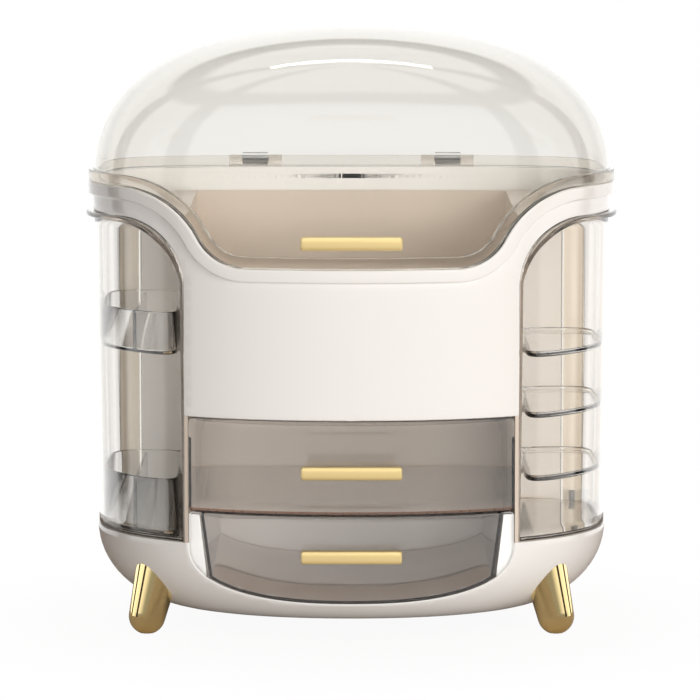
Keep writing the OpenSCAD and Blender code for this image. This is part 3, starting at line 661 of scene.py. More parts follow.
WHITE = MouldedPlastic("white_abs_moulded", "#F3F2F0")
# Painted shade: the column and the top tray are white plastic, darkened and warmed here to stand for the shade
# inside the cabinet and its well.
PAINTED_SHADE_WHITE = MouldedPlastic("white_abs_painted_shade", "#DDD0C2", Polish.SATIN)
LID_CLEAR = ClearPlastic("clear_polystyrene_lid", "#D2CAB6", 84.0)
LID_EDGE = ClearPlastic("clear_polystyrene_rim", "#CDB994", 70.0)
DRAWER_CLEAR = ClearPlastic("clear_polystyrene_drawer", "#F4DFC6", 12.0)
# Partly painted shade: both tubs are one tinted plastic. The upper tub's tint is deepened to stand for the shade
# in its drawer, and the lower tub's much darker tint stands for the deeper shade in the closed lower drawer.
UPPER_TUB_TINT_AND_SHADE = ClearPlastic("upper_tub_tint_and_painted_shade", "#EAD2B4", 20.0)
LOWER_TUB_TINT_AND_SHADE = ClearPlastic("lower_tub_tint_and_painted_shade", "#C8A688", 78.0)
TEA_CLEAR = ClearPlastic("tea_polystyrene_door", "#F6E0B4", 20.0)
TEA_EDGE = ClearPlastic("tea_polystyrene_bead", "#CDB08A", 55.0)
TEA_TIER = ClearPlastic("tea_polystyrene_tier", "#E8D4B2", 14.0)
GOLD_SATIN = PlatedMetal("gold_plated_zinc_satin", "#FFE6A6", 0.38, 0.10, 0.55)
GOLD_POLISHED = PlatedMetal("gold_plated_zinc_polished", "#FFE6A8", 0.06, 0.03)
STEEL = PlatedMetal("zinc_plated_steel", "#B9BBBE", 0.30, 0.15)


# ---- pieces ----

class Slot(Enum):
    """The record's material slots, one passed with each new piece."""

    WHITE = "white_plastic"
    GOLD = "gold_plating"
    LID = "clear_lid"
    DRAWER = "clear_drawer"
    TAUPE = "tinted_tub"
    SMOKE = "smoke_tub"
    DOOR = "tea_door"
    TIER = "tea_tier"


MATERIALS: dict[str, bpy.types.Material] = {}


def finish(kind: Finish) -> bpy.types.Material:
    """Returns a finish's material, made once."""
    if kind.name not in MATERIALS:
        MATERIALS[kind.name] = kind.build()
    return MATERIALS[kind.name]


def piece(name: str, form: Form, body: str, slot: Slot, kind: Finish, stands_for: str = "") -> None:
    """Makes a form into a piece of the object. Edges sharper than CREASE stay sharp.

    Args:
        name: the piece's name.
        form: its corners in millimetres in the cabinet's frame, and its faces.
        body: the CAD body that it moves with.
        slot: the record's material slot for it; not used.
        kind: its finish.
        stands_for: the CAD node that it replaces, if any.
    """
    mesh = bpy.data.meshes.new(name)
    points = (form.points + [0, CAB.y_shift, 0]) * MM
    mesh.from_pydata(points.tolist(), [], form.faces)
    work = bmesh.new()
    work.from_mesh(mesh)
    bmesh.ops.remove_doubles(work, verts=work.verts, dist=2e-6)
    bmesh.ops.dissolve_degenerate(work, edges=work.edges, dist=1e-7)
    bmesh.ops.recalc_face_normals(work, faces=work.faces)
    work.to_mesh(mesh)
    work.free()
    mesh.polygons.foreach_set("use_smooth", np.ones(len(mesh.polygons), bool))
    mesh.set_sharp_from_angle(angle=CREASE)
    mesh.materials.append(finish(kind))
    made = bpy.data.objects.new(name, mesh)
    bpy.context.scene.collection.objects.link(made)
    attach(made, body)
    if stands_for:
        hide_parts(stands_for)
    LOG.info("%s: %d faces on %s", name, len(mesh.polygons), body)


def dress(frame: dict, nodes: dict[str, Finish]) -> None:
    """Gives the CAD nodes that stay in view their finishes."""
    for name, kind in nodes.items():
        node = frame["nodes"][name]
        node.data.materials.clear()
        node.data.materials.append(finish(kind))
        LOG.info("%s: dressed", name)


@dataclass
class Bowl:
    """The white base: a bowl with a curved opening in front, and the drawer's tunnel behind it."""

    wall: float = 2.6
    tunnel_wall: float = 2.2
    tunnel_rows: int = 12
    edge: float = 0.9
    pitch: float = 3.0
    flange_depth: float = 3.4
    flange_t: float = 1.6
    flange_foot: float = 87.4
    flange_top: float = 92.0

    def surface(self, u: Array, v: Array, depth: Array) -> Array:
        """Returns the bowl's face. v is the angle of its quarter ellipse in degrees, 90 at the deck."""
        angle = np.radians(v)
        plan = CAB.superellipse(UNROLLED.angle(u), *CAB.bowl_sizes(1 - np.sin(angle), depth))
        return np.column_stack([plan, CAB.deck_z - (CAB.deck_z - CAB.base_z - depth) * np.cos(angle)])

    def rim(self) -> Array:
        """Returns the bowl's upper edge in u and v: level at 90, and down the opening's curve in front."""
        smile = even(CAB.smile(), self.pitch)
        half = CAB.bowl_sizes(CAB.tuck(smile[:, 1]))[0]
        v = np.degrees(np.arccos((CAB.deck_z - smile[:, 1]) / (CAB.deck_z - CAB.base_z)))
        dip = np.column_stack([UNROLLED.at(CAB.front_angle(smile[:, 0] / half)), v])
        left = np.arange(0, dip[0, 0], self.pitch)
        right = np.linspace(dip[-1, 0], UNROLLED.whole, len(left))
        return chain(np.column_stack([left, 0 * left + 90]), dip, np.column_stack([right, 0 * right + 90]))

    def build(self) -> Form:
        """Returns the bowl, its underside, its tunnel and its flange."""
        u = np.linspace(0, UNROLLED.whole, 241)
        form = plate([np.column_stack([u, 0 * u]), self.rim()[::-1]], self.surface, self.wall, self.edge,
                     (4.0, 5.0))
        share = np.array([1.0, 0.6, 0.2, 0.0])[:, None, None]
        foot = self.surface(u[:-1], 0 * u[:-1] + 1e-3, 0 * u[:-1]) * [1, 1, 0] * share + [0, 0, CAB.base_z]
        return form.join(grid(foot)).join(grid(foot + [0, 0, self.wall])).join(self.tunnel()).join(self.flange())

    def flange(self) -> Form:
        """Returns the white flange behind the drawer's clear front, between the tub's side and the opening.

        Its outer edge is the opening's own curve, and its inner edge is the tub's sloping side with a gap.
        """
        curve = CAB.smile(0.2, 96)
        curve = curve[curve[:, 0] > self.flange_foot]
        top = CAB.shelf_z - CAB.shelf_t - CAB.gap - 0.2
        side = np.array([[CAB.bay_half - 0.2, top], [self.flange_top, top], [self.flange_foot, curve[0, 1]]])
        form = panel(even(chain(curve, side), 2.0, True),
                     lambda x, z, sunk: CAB.bowl_front_y(x, z, self.flange_depth + sunk), self.flange_t, 0.4,
                     (3.0, 4.0))
        return form.join(form.mirrored())

    def tunnel(self) -> Form:
        """Returns the drawer's tunnel: the opening's curve carried back, behind the bowl's own wall."""
        inner = even(CAB.smile(), 2.0)
        section = np.vstack([inner, inset_line(inner, -self.tunnel_wall)[::-1]])
        start = CAB.bowl_front_y(section[:, 0], section[:, 1], self.wall * 0.6)
        section[:, 1] = np.minimum(section[:, 1], CAB.deck_z)
        form = carried_back(section, start, CAB.bay_back, self.tunnel_rows)
        count, last = len(section), (self.tunnel_rows - 1) * len(section)
        strips = [[k, k + 1, count - 2 - k, count - 1 - k] for k in range(count // 2 - 1)]
        form.faces += strips + [[last + k for k in strip] for strip in strips]
        return form


@dataclass
class Body:
    """The white shell: the front panel, the shoulders over the doors, the back and the raised border."""

    edge: float = 0.7

    def bottom(self) -> Array:
        """Returns the shell's lower edge in u and z: the back, the door arches and the front panel."""
        back = UNROLLED.at(math.pi - CAB.back_angle(CAB.hinge_y + CAB.hinge_in + CAB.swing_space))
        arc = turn(90, 0, 22, CAB.arch_r, (-CAB.arch_x, CAB.arch_z - CAB.arch_r))
        arch = np.column_stack([UNROLLED.at(CAB.front_angle(arc[:, 0] / CAB.body_half)), arc[:, 1]])
        end, middle = UNROLLED.at(CAB.front_angle(np.array([-CAB.door_x, 0.0]) / CAB.body_half))
        half = chain(walk((0, CAB.deck_z), (back, CAB.deck_z), (back, CAB.arch_z), arch[0]), arch,
                     walk(arch[-1], (end, CAB.panel_z), (middle, CAB.panel_z)))
        return chain(half, half[::-1] * [-1, 1] + [UNROLLED.whole, 0])

    def top(self) -> Array:
        """Returns the face's upper edge in u and z, half way down the border."""
        u = np.linspace(0, UNROLLED.whole, 421)
        return np.column_stack([u, CAB.level(CAB.plan(UNROLLED.angle(u)), -CAB.border_h / 2)])

    def border(self) -> Form:
        """Returns the raised border: a rounded band carried round under the lid, along the collar."""
        out, deep, wall = CAB.border_out, -CAB.border_h, -CAB.body_wall
        return band(rounded([(wall, 0), (wall, deep - 1), (0.1, deep - 1), (0.1, deep), (out, deep), (out, 0)],
                            1.3, 5))

    def build(self) -> Form:
        """Returns the shell, its border and its ears."""
        def face(u: Array, v: Array, depth: Array) -> Array:
            """Returns the body's upright face at distance u and height v."""
            return np.column_stack([CAB.plan(UNROLLED.angle(u), depth), v])
        form = plate([self.bottom(), self.top()[::-1]], face, CAB.body_wall, self.edge, (4.5, 9.0))
        return form.join(self.border()).join(self.ears())

    def ears(self) -> Form:
        """Returns the lid hinges' fixed ears: a barrel on an arm, two for each hinge."""
        (y, z), r, width = CAB.lid_axis, CAB.barrel_r, CAB.hinge_w
        root = CAB.back_depth - 2.0
        section = rounded([(root, z - 3 * r), (y + r, z - 2.2 * r), (y + r, z), (y, z + r), (y - r, z),
                           (root, z - r - 1)], 3.5, 5)
        form = Form()
        for centre in (-CAB.hinge_pitch, CAB.hinge_pitch):
            for start in (centre - width / 2, centre + width / 4):
                form.join(beam(section, start, start + width / 4))
        return form


@dataclass
class Lid:
    """The clear dome with its rim, which follows the collar, and its hinge barrels."""

    wall: float = 2.4
    rim_h: float = 7.0
    rim_r: float = 0.6
    foot_up: float = 0.6
    crown_in: float = 0.3

    def shell(self, t: Array, up: Array, inset: float) -> Array:
        """Returns points of the dome: from the front a superellipse, from the side a squarer one.

        Args:
            t: plan angles in radians.
            up: angles up the dome in radians, 0 at the shoulder and pi / 2 at the top.
            inset: how far the points stay inside the dome's outer face.
        """
        nx, ny = CAB.dome_round_x, CAB.dome_round_y
        height = np.clip(np.sin(up), 0, 1) ** (2 / nx) + 0 * t
        across = np.clip(np.cos(up), 0, 1) ** (2 / nx)
        along = np.clip(1 - height ** ny, 0, 1) ** (1 / ny)
        plan = CAB.superellipse(t + 0 * up, (CAB.body_half - inset) * across,
                                (CAB.front_depth - inset) * along, (CAB.back_depth - inset) * along)
        rise = CAB.dome_z - self.crown_in - inset - CAB.shoulder_z
        return np.concatenate([plan, (CAB.shoulder_z + rise * height)[..., None]], -1)

    def build(self) -> Form:
        """Returns the dome's wall, closed over its rim, and its barrels."""
        t = CAB.even_angles(360)
        up = np.radians(np.concatenate([np.linspace(4, 70, 26), np.linspace(72, 90, 14)]))[:, None]
        foot = CAB.level(CAB.plan(t), CAB.play) + self.foot_up
        share = np.linspace(0, 1, 9)[:-1, None, None]
        sides = []
        for inset in (0.0, self.wall):
            dome = self.shell(t[None], up, inset)
            low = np.column_stack([CAB.plan(t, inset), foot])
            sides.append(np.concatenate([low * (1 - share) + dome[:1] * share, dome]))
        lip = np.stack([np.column_stack([CAB.plan(t, self.wall * s), foot - self.foot_up * math.sin(math.pi * s)])
                        for s in (0.85, 0.65, 0.35, 0.15)])
        return grid(np.concatenate([sides[0], sides[1][::-1], lip]), along=True).join(self.barrels())

    def rim(self) -> Form:
        """Returns the rim: a rounded band that stands out from the dome's wall and rests on the border."""
        out, low, high = CAB.border_out, CAB.play, CAB.play + self.rim_h
        return band(rounded([(-0.4, low), (out, low), (out, high), (-0.4, high)], self.rim_r, 4))

    def barrels(self) -> Form:
        """Returns the lid's two moving hinge barrels, each on an arm from the dome's back."""
        (y, z), r, half = CAB.lid_axis, CAB.barrel_r, CAB.hinge_w / 4 - CAB.play
        root = CAB.back_depth - 1.2
        section = rounded([(root, z - r + 1), (y - r, z - r), (y + r, z - r), (y + r, z + r), (y - r, z + r),
                           (root, z + 1.4 * r)], 3.0, 5)
        form = Form()
        for centre in (-CAB.hinge_pitch, CAB.hinge_pitch):
            form.join(beam(section, centre - half, centre + half))
        return form


@dataclass
class Door:
    """A clear swinging door: its curved wall, the lip round its arch, its floor and its hinge post."""

    wall: float = 2.4
    floor: float = 2.4
    taper: float = 2.6
    lip_out: float = 5.0
    lip_t: float = 3.0
    lip_in: float = 6.0
    post_r: float = 8.0
    edge: float = 0.8
    corner: float = 5.0
    rear_in: float = 1.6
    rear_from: float = 60.0
    rear_over: float = 12.0

    @property
    def foot(self) -> float:
        """Returns the height of the door's underside."""
        return CAB.deck_z + CAB.play

    def inset(self, z: Array) -> Array:
        """Returns how far the wall stays inside the body's plan at height z: more towards its foot."""
        share = np.clip((CAB.arch_z - z) / (CAB.arch_z - self.foot), 0, 1)
        return 0.5 + self.taper * share ** 1.3

    def face(self, u: Array, v: Array, depth: Array) -> Array:
        """Returns the wall's face at distance u and height v. Its rear edge stays clear of the shell."""
        angle, inset = UNROLLED.angle(u), self.inset(v)
        rear = np.clip((CAB.plan(angle, inset)[:, 1] - self.rear_from) / self.rear_over, 0, 1)
        return np.column_stack([CAB.plan(angle, inset + depth + rear * np.maximum(0, self.rear_in - inset)), v])

    def arch(self) -> Array:
        """Returns the door's free edge in u and z, for the right door: up its open side, round and back."""
        arc = turn(180, 90, 24, CAB.arch_r - CAB.gap, (CAB.arch_x, CAB.arch_z - CAB.arch_r))
        front = chain(walk((CAB.door_x + CAB.gap, self.foot), arc[0]), arc)
        u = UNROLLED.at(CAB.front_angle(front[:, 0] / CAB.body_half))
        rear = UNROLLED.at(CAB.back_angle(CAB.hinge_y))
        top = CAB.arch_z - CAB.gap
        return chain(np.column_stack([u, front[:, 1]]), walk((u[-1], top), (rear, top)))

    def build(self) -> Form:
        """Returns the right door without its tiers."""
        edge = self.arch()
        rear = edge[-1, 0]
        outline = chain(edge, walk(edge[-1], (rear, self.foot), (edge[0, 0], self.foot)))[:-1][::-1]
        form = plate([outline], self.face, self.wall, self.edge, (4.5, 8.0))
        return form.join(self.post()).join(self.base())

    def lip(self) -> Form:
        """Returns the lip: a bar carried along the free edge, outwards on the arch and inwards below it."""
        line = self.arch()
        stop = UNROLLED.at(CAB.back_angle(CAB.hinge_y - 2 * self.post_r))
        line = even(line[line[:, 0] < stop + 0.01], 2.0)
        line[:, 1] = np.maximum(line[:, 1], self.foot + 0.2)
        place = self.face(line[:, 0], line[:, 1], np.zeros(len(line)))
        out = self.face(line[:, 0], line[:, 1], np.full(len(line), -1.0)) - place
        run = np.gradient(place, axis=0)
        down = np.cross(run / np.linalg.norm(run, axis=1, keepdims=True), out)
        down /= np.linalg.norm(down, axis=1, keepdims=True)
        height = np.clip((line[:, 1] - (CAB.arch_z - CAB.arch_r)) / (0.75 * CAB.arch_r), 0, 1)[:, None]
        near = -self.lip_in * (1 - height) - self.wall * height
        far = np.maximum(self.lip_out * height ** 0.8, 0.4)
        section = rounded([(-1, 0), (-1, 1), (1, 1), (1, 0)], 0.35, 4)
        x = near + (far - near) * (section[None, :, 0] + 1) / 2
        y = self.lip_t * section[None, :, 1] + 0 * x
        return grid(place[:, None] + x[..., None] * out[:, None] + y[..., None] * down[:, None], capped=True)

    def post(self) -> Form:
        """Returns the hinge post: a round bar with rounded ends."""
        low, high, e = self.foot, CAB.arch_z - CAB.play, 1.2
        form = turned(np.vstack([[[0, low]], turn(-90, 0, 4, e, (self.post_r - e, low + e)),
                                 turn(0, 90, 4, e, (self.post_r - e, high - e)), [[0, high]]]), 56)
        form.points += [CAB.hinge_x, CAB.hinge_y, 0]
        return form

    def plan(self, inset: float, side: float, back: float, z: float) -> Array:
        """Returns the plan of the room in the door: inside its wall, beside its open side, before its back.

        Args:
            inset: how far to stay inside the wall's outer face.
            side: how far to stay from the open side.
            back: how far to stay before the hinge axis.
            z: the height at which the wall is met.
        """
        t = np.linspace(-math.pi / 2, math.pi / 2, 3001)
        curve = CAB.plan(t, float(self.inset(np.array(z))) + inset)
        x0, y1 = CAB.door_x + side, CAB.hinge_y - back
        curve = curve[(curve[:, 0] > x0) & (curve[:, 1] < y1)]
        outline = np.vstack([[x0, curve[0, 1]], curve, [curve[-1, 0], y1], [x0, y1]])
        return softened(outline, self.corner)

    def base(self) -> Form:
        """Returns the door's floor: a plate with a rounded edge."""
        outline = self.plan(self.wall * 0.5, 0.0, 0.0, self.foot)

        def flat(u: Array, v: Array, depth: Array) -> Array:
            """Returns the floor's upper face, sunk by the depth."""
            return np.column_stack([u, v, self.foot + self.floor - depth])
        return plate([outline], flat, self.floor, 0.7, (12.0, 12.0))


@dataclass
class Tiers:
    """What the doors carry: two bins with dividers on the left, three shelves with rolled edges on the right."""

    door: Door
    clear: float = 3.7
    wall: float = 1.8
    roll: float = 2.4
    corner: float = 9.0
    lift: float = 0.2
    shelf_t: float = 1.6
    shelf_h: float = 3.6
    bin_heights: Point = (34.0, 26.0)
    rises: tuple[float, float, float] = (37.0, 76.0, 113.5)

    def outline(self, z: float) -> Callable[[float], Array]:
        """Returns a tier's plan at height z as a function of inset, with equal numbers of points."""
        base = self.door.plan(self.door.wall + CAB.play, self.clear, 2 * self.door.post_r, z)
        for _ in range(4):
            base = softened(base, self.corner)
        return partial(inset_line, even(base, STEP, closed=True), closed=True)

    def bin(self, z: float, height: float) -> Form:
        """Returns a bin: a tub with rounded edges and a divider across its middle."""
        plan = self.outline(z)
        middle = (CAB.door_x + CAB.body_half - self.wall) / 2
        base = plan(self.wall)
        across = base[np.abs(base[:, 0] - middle - self.wall / 2) < 3, 1]
        y0, y1, top = across.min(), across.max(), z + height - 1.5
        divider = rounded([(y0, z + 1), (y1, z + 1), (y1, top), (y0, top)], 1.0, 3)
        return tray(plan, tub_rows(z, z + height, self.wall, 0.9)).join(beam(divider, middle, middle + self.wall))

    def shelf(self, z: float) -> Form:
        """Returns a shelf: a plate whose edge is a rolled bead all round."""
        low, bead, roll = z - self.shelf_t, self.shelf_h / 2, self.roll
        top = low + self.shelf_h
        rows = [(bead + 1.5, low), (1.1, low + 0.1), (0.4, low + 0.7), (0.0, low + bead * 0.8),
                (0.1, low + bead * 1.3), (0.6, top - 0.3), (roll / 2, top), (roll - 0.5, top - 0.4),
                (roll, top - 1.2), (roll + 0.4, z + 0.3), (roll + 1.2, z)]
        return tray(self.outline(z), np.array(rows))


@dataclass
class Drawers:
    """The two drawers: their clear curved fronts and their tubs."""

    front_t: float = 2.6
    wall: float = 1.8
    tub_top: float = 125.3
    tub_steps: int = 14
    edge: float = 0.7
    slide_gap: float = 2.0
    low_top: float = 91.0
    low_foot: float = 84.0
    low_back: float = 82.6

    def upper_front(self) -> Form:
        """Returns the upper front: a plate on the body's own curve."""
        half, low, high = CAB.bay_half - CAB.gap, CAB.shelf_z, CAB.panel_z - CAB.gap
        outline = even(rounded([(-half, low), (half, low), (half, high), (-half, high)], 2.5, 5), 3.0, True)
        return panel(outline, lambda x, z, depth: CAB.front_y(x, depth), self.front_t, self.edge, (5.0, 9.0))

    def lower_front(self) -> Form:
        """Returns the lower front: a plate on the bowl's curve, with the opening's outline."""
        half, top = CAB.bay_half - CAB.gap, CAB.shelf_z - CAB.gap - CAB.play
        rest = rounded([(half, top), (-half, top), (-half, top - 8), (half, top - 8)], 2.5, 5)
        outline = chain(even(CAB.smile(CAB.gap), 2.5), rest[rest[:, 1] > top - 2.6])
        return panel(even(outline, 2.5, True), CAB.bowl_front_y, self.front_t, self.edge, (4.0, 4.0))

    def tub(self, right: Array, front: Callable[[Array, Array], Array], back: float) -> Form:
        """Returns a tub that is open towards the drawer's front: its section carried back to a rear wall.

        Args:
            right: the right half of its outer section in x and z, from the middle of its underside to its rim.
            front: gives the y of the drawer front's rear face at x and z.
            back: the y of the tub's rear face.
        """
        outer = chain(right[::-1] * [-1, 1], right)
        inner = inset_line(outer, self.wall)
        inner[[0, -1], 1] = outer[0, 1]
        count = len(outer)
        share = np.array([0.15, 0.5, 0.85])[:, None]
        bulge = [0, 0.45] * np.array([[0.7], [1.0], [0.7]])
        rims = [outer[k] * (1 - share) + inner[k] * share + bulge for k in (-1, 0)]
        section = np.vstack([outer, rims[0], inner[::-1], rims[1][::-1]])
        depth = np.concatenate([np.zeros(count), share[:, 0], np.ones(count), share[::-1, 0]]) * self.wall
        form = carried_back(section, front(*section.T), back - depth, self.tub_steps)
        last, size = (self.tub_steps - 1) * len(section), len(section)
        left, right_rim = [0, *range(size - 1, size - 5, -1)], list(range(count - 1, count + 4))
        rear = [list(range(count)), list(range(count + 3, 2 * count + 3))]
        rear += [[right_rim[k], right_rim[k + 1], left[k + 1], left[k]] for k in range(4)]
        form.faces += [[k, k + 1, size - 5 - k, size - 4 - k] for k in range(count - 1)] + [left, right_rim]
        form.faces += [[last + k for k in face] for face in rear]
        return form

    def upper_tub(self) -> Form:
        """Returns the upper tub: a shallow box with rounded lower corners."""
        half, low, r = CAB.bay_half - 2 * CAB.gap, CAB.shelf_z + CAB.play, 2.0
        corner = turn(-90, 0, 6, r, (half - r, low + r))
        right = chain(walk((0, low), corner[0], pitch=5.0), corner, np.array([[half, self.tub_top]]))
        return self.tub(right, lambda x, z: CAB.front_y(x, self.front_t), CAB.bay_back - 4.0)

    def lower_tub(self) -> Form:
        """Returns the lower tub: its underside is the opening's curve, and its sides draw in downwards."""
        top, foot = CAB.shelf_z - CAB.shelf_t - CAB.gap - 0.5, CAB.deck_z - CAB.smile_h + self.slide_gap
        curve = CAB.smile(self.slide_gap, 120)[60:]
        x, z = curve.T
        low = curve[x < self.low_foot + (self.low_top - self.low_foot) * (z - foot) / (top - foot)]
        side = walk(low[-1] + [0.2, 0.8], (self.low_top, top), pitch=5.0)
        return self.tub(chain(low, side), lambda x, z: CAB.bowl_front_y(x, z, self.front_t), self.low_back)


@dataclass
class Handle:
    """A gold bar handle on two posts."""

    length: float = 61.0
    height: float = 8.0
    depth: float = 8.0
    pitch: float = 40.0
    post_r: float = 2.8
    upper_up: float = 27.0
    lower_down: float = 4.0
    lid_up: float = 16.5

    def build(self, z: float, seat: float) -> Form:
        """Returns a handle at height z, whose posts reach back to the depth of their seat.

        The bar is a rounded section carried along X, drawn in at its ends in a quarter circle.
        """
        y = -CAB.front_depth - CAB.handle_gap
        half, deep, high, e = self.length / 2, self.depth, self.height / 2, 1.6
        section = rounded([(-deep, -high), (0, -high), (0, high), (-deep, high)], 2.4, 6)
        ends = np.radians(np.linspace(0, 90, 6))
        reach = half - e + e * np.cos(ends)
        shrink = e - e * np.sin(ends)
        reach, shrink = np.append(-reach, reach[::-1]), np.append(shrink, shrink[::-1])
        middle = np.array([-deep / 2, 0])
        ring = middle + (section[None] - middle) * (1 - shrink[:, None, None] / [deep / 2, high])
        x = np.broadcast_to(reach[:, None], ring.shape[:2])
        form = grid(np.stack([x, y + ring[..., 0], z + ring[..., 1]], -1), capped=True)
        post = turned(np.array([[0, 0], [self.post_r, 0], [self.post_r, 1], [0, 1]]), 32)
        across, up, back = post.points.T
        root = y - 2.0
        for side in (-1, 1):
            form.add(np.column_stack([side * self.pitch / 2 + across, root + (seat - root) * back, z + up]),
                     post.faces)
        return form


@dataclass
class Leg:
    """A polished gold leg: a cone on a round foot, leaning outwards, with a flat to stand on."""

    foot_r: float = 11.3
    top_r: float = 14.0
    length: float = 46.0
    lean_x: float = 13.0
    lean_y: float = 7.0
    flat: float = 0.8
    foot_in_x: float = 32.5
    foot_in_front: float = 13.0
    foot_in_back: float = 24.0

    def build(self, right: int, rear: int) -> Form:
        """Returns the leg on one corner: its turned profile leaned over, with its foot cut level at z = 0.

        Args:
            right: -1 for the left side and 1 for the right.
            rear: -1 for the front and 1 for the back.
        """
        top = self.length - self.foot_r
        taper = math.atan((self.top_r - self.foot_r) / top)
        ball = turn(-90, 90, 24, self.foot_r, (0, 0))[np.radians(np.linspace(-90, 90, 25)) < 1e-6 - taper]
        reach = np.linspace(0, 1, 14)[1:, None]
        cone = np.array([[self.top_r, top]]) * reach + ball[-1:] * (1 - reach)
        form = turned(np.vstack([[[0, -self.foot_r]], ball, cone, [[0, top]]]), 64)
        (cx, sx), (cy, sy) = ((math.cos(a), math.sin(a)) for a in (math.radians(rear * self.lean_y),
                                                               math.radians(-right * self.lean_x)))
        lean = np.array([[cy, sy * sx, sy * cx], [0, cx, -sx], [-sy, cy * sx, cy * cx]])
        foot_x = CAB.base_half - self.foot_in_x
        front_y = CAB.front_curve(foot_x, CAB.base_half, CAB.base_front) + self.foot_in_front
        foot_y = front_y if rear < 0 else CAB.back_depth - self.foot_in_back
        place = form.points @ lean.T + [right * foot_x, foot_y, self.foot_r - self.flat]
        place[:, 2] = np.maximum(place[:, 2], 0.0)
        return Form(place, form.faces)


# ---- the studio ----

def add_facing(made: bpy.types.Object, place: tuple[float, float, float], aim: Vector) -> None:
    """Adds an object to the scene at a place, turned to face a point."""
    made.location = place
    made.rotation_euler = (aim - made.location).to_track_quat("-Z", "Y").to_euler()
    bpy.context.scene.collection.objects.link(made)


def set_camera() -> None:
    """Places the camera before the cabinet: 3.05 m away and 6 degrees above it, with a long lens."""
    camera = bpy.data.objects.new("camera", bpy.data.cameras.new("camera"))
    camera.data.angle = math.radians(8.204)
    camera.data.clip_end = 50
    x, y, tilt, away = -0.0009, CAB.y_shift * MM, math.radians(6.03), 3.05
    add_facing(camera, (x, y - away * math.cos(tilt), 0.190 + away * math.sin(tilt)), Vector((x, y, 0.1685)))
    bpy.context.scene.camera = camera


def add_lamp(name: str, size: Point, place: tuple[float, float, float], power_w: float,
             colour: str = "#FFFFFF", mirrored: bool = False) -> None:
    """Adds a rectangular soft lamp that faces the cabinet.

    Args:
        name: the lamp's name.
        size: its width and height in metres.
        place: its centre.
        power_w: its power in watts.
        colour: its colour.
        mirrored: whether gloss shows it. A lamp behind a diffusing tent lights the object and isn't mirrored.
    """
    lamp = bpy.data.lights.new(name, "AREA")
    lamp.shape = "RECTANGLE"
    lamp.size, lamp.size_y = size
    lamp.energy = power_w
    lamp.color = linear(colour)[:3]
    made = bpy.data.objects.new(name, lamp)
    made.visible_glossy = made.visible_transmission = mirrored
    add_facing(made, place, Vector((0, 0, 0.19)))


def room_light(tree: Tree, front: float) -> Node:
    """Returns the brightness of the room in each direction, as gloss or plastic shows it.

    White walls stand all round, a dark band runs round the room from 39 to 50 degrees up, and four narrow
    black flags stand 67.5 degrees to each side of the front and of the back: they draw the thin dark lines
    along clear edges and polished metal.

    Args:
        tree: the world's nodes.
        front: the brightness low down before the cabinet, where flat fronts would mirror the table.
    """
    x, y, z = put(tree, "SeparateXYZ", {0: put(tree, "TexCoord")}).outputs
    bearing = figure(tree, "ARCTAN2", figure(tree, "ABSOLUTE", x), figure(tree, "ABSOLUTE", y))
    away = figure(tree, "ABSOLUTE", figure(tree, "SUBTRACT", bearing, math.radians(67.5)))
    flags = ramp(tree, away, math.radians(5), math.radians(8), 0.03, 1.0)
    dark_band = ramp(tree, figure(tree, "ABSOLUTE", figure(tree, "SUBTRACT", z, 0.70)), 0.05, 0.10, 0.06, 1.0)
    walls = figure(tree, "MULTIPLY", flags, dark_band)
    below = figure(tree, "MAXIMUM", ramp(tree, z, 0.0, 0.1, 0.0, 1.0), ramp(tree, y, -0.5, 0.2, front, 1.0))
    return figure(tree, "MULTIPLY", walls, below)


def set_world(colour: str, left: float, right: float) -> None:
    """Lights the room and shows white to the camera and the walls in gloss and plastic.

    Args:
        colour: the room's colour.
        left: its brightness on the left.
        right: its brightness on the right.
    """
    world = bpy.data.worlds.new("studio")
    bpy.context.scene.world = world
    world.use_nodes = True
    tree = world.node_tree
    tree.nodes.clear()
    ray = put(tree, "LightPath").outputs
    toward = put(tree, "SeparateXYZ", {0: put(tree, "TexCoord")})
    shown = put(tree, "Background", {"Color": linear(colour),
                                     "Strength": ramp(tree, toward, -1.0, 1.0, left, right)})
    for kind, light, white in (("Is Glossy Ray", room_light(tree, 0.22), 1.45),
                               ("Is Transmission Ray", room_light(tree, 1.0), 1.0), ("Is Camera Ray", 1.0, 1.0)):
        seen = put(tree, "Background", {"Color": (white, white, white, 1), "Strength": light})
        shown = put(tree, "MixShader", {0: ray[kind], 1: shown, 2: seen})
    put(tree, "OutputWorld", {"Surface": shown})


def set_floor() -> None:
    """Lays a pale round table that fades to white away from the cabinet."""
    mesh = bpy.data.meshes.new("floor")
    ring = turn(0, 360, 96, 0.5, (0, 0))[:-1]
    mesh.from_pydata(np.column_stack([ring, 0 * ring[:, 0]]).tolist(), [], [list(range(len(ring)))])
    floor = bpy.data.objects.new("floor", mesh)
    bpy.context.scene.collection.objects.link(floor)
    material, tree = new_material("pale_floor_paint")
    far = put(tree, "VectorMath", {"operation": "LENGTH", 0: put(tree, "TexCoord").outputs["Object"]})
    fade = ramp(tree, far.outputs["Value"], 0.08, 0.28, 0.94, 1.0)
    ray = put(tree, "LightPath").outputs
    seen = figure(tree, "MAXIMUM", ray["Is Camera Ray"], ray["Is Transmission Ray"])
    paint = put(tree, "BsdfDiffuse", {"Color": linear("#CFC8C2")})
    glow = put(tree, "Emission", {"Color": (1, 1, 1, 1), "Strength": 1.0})
    both = put(tree, "MixShader", {0: figure(tree, "MULTIPLY", seen, fade), 1: paint, 2: glow})
    put(tree, "OutputMaterial", {"Surface": both})
    mesh.materials.append(material)


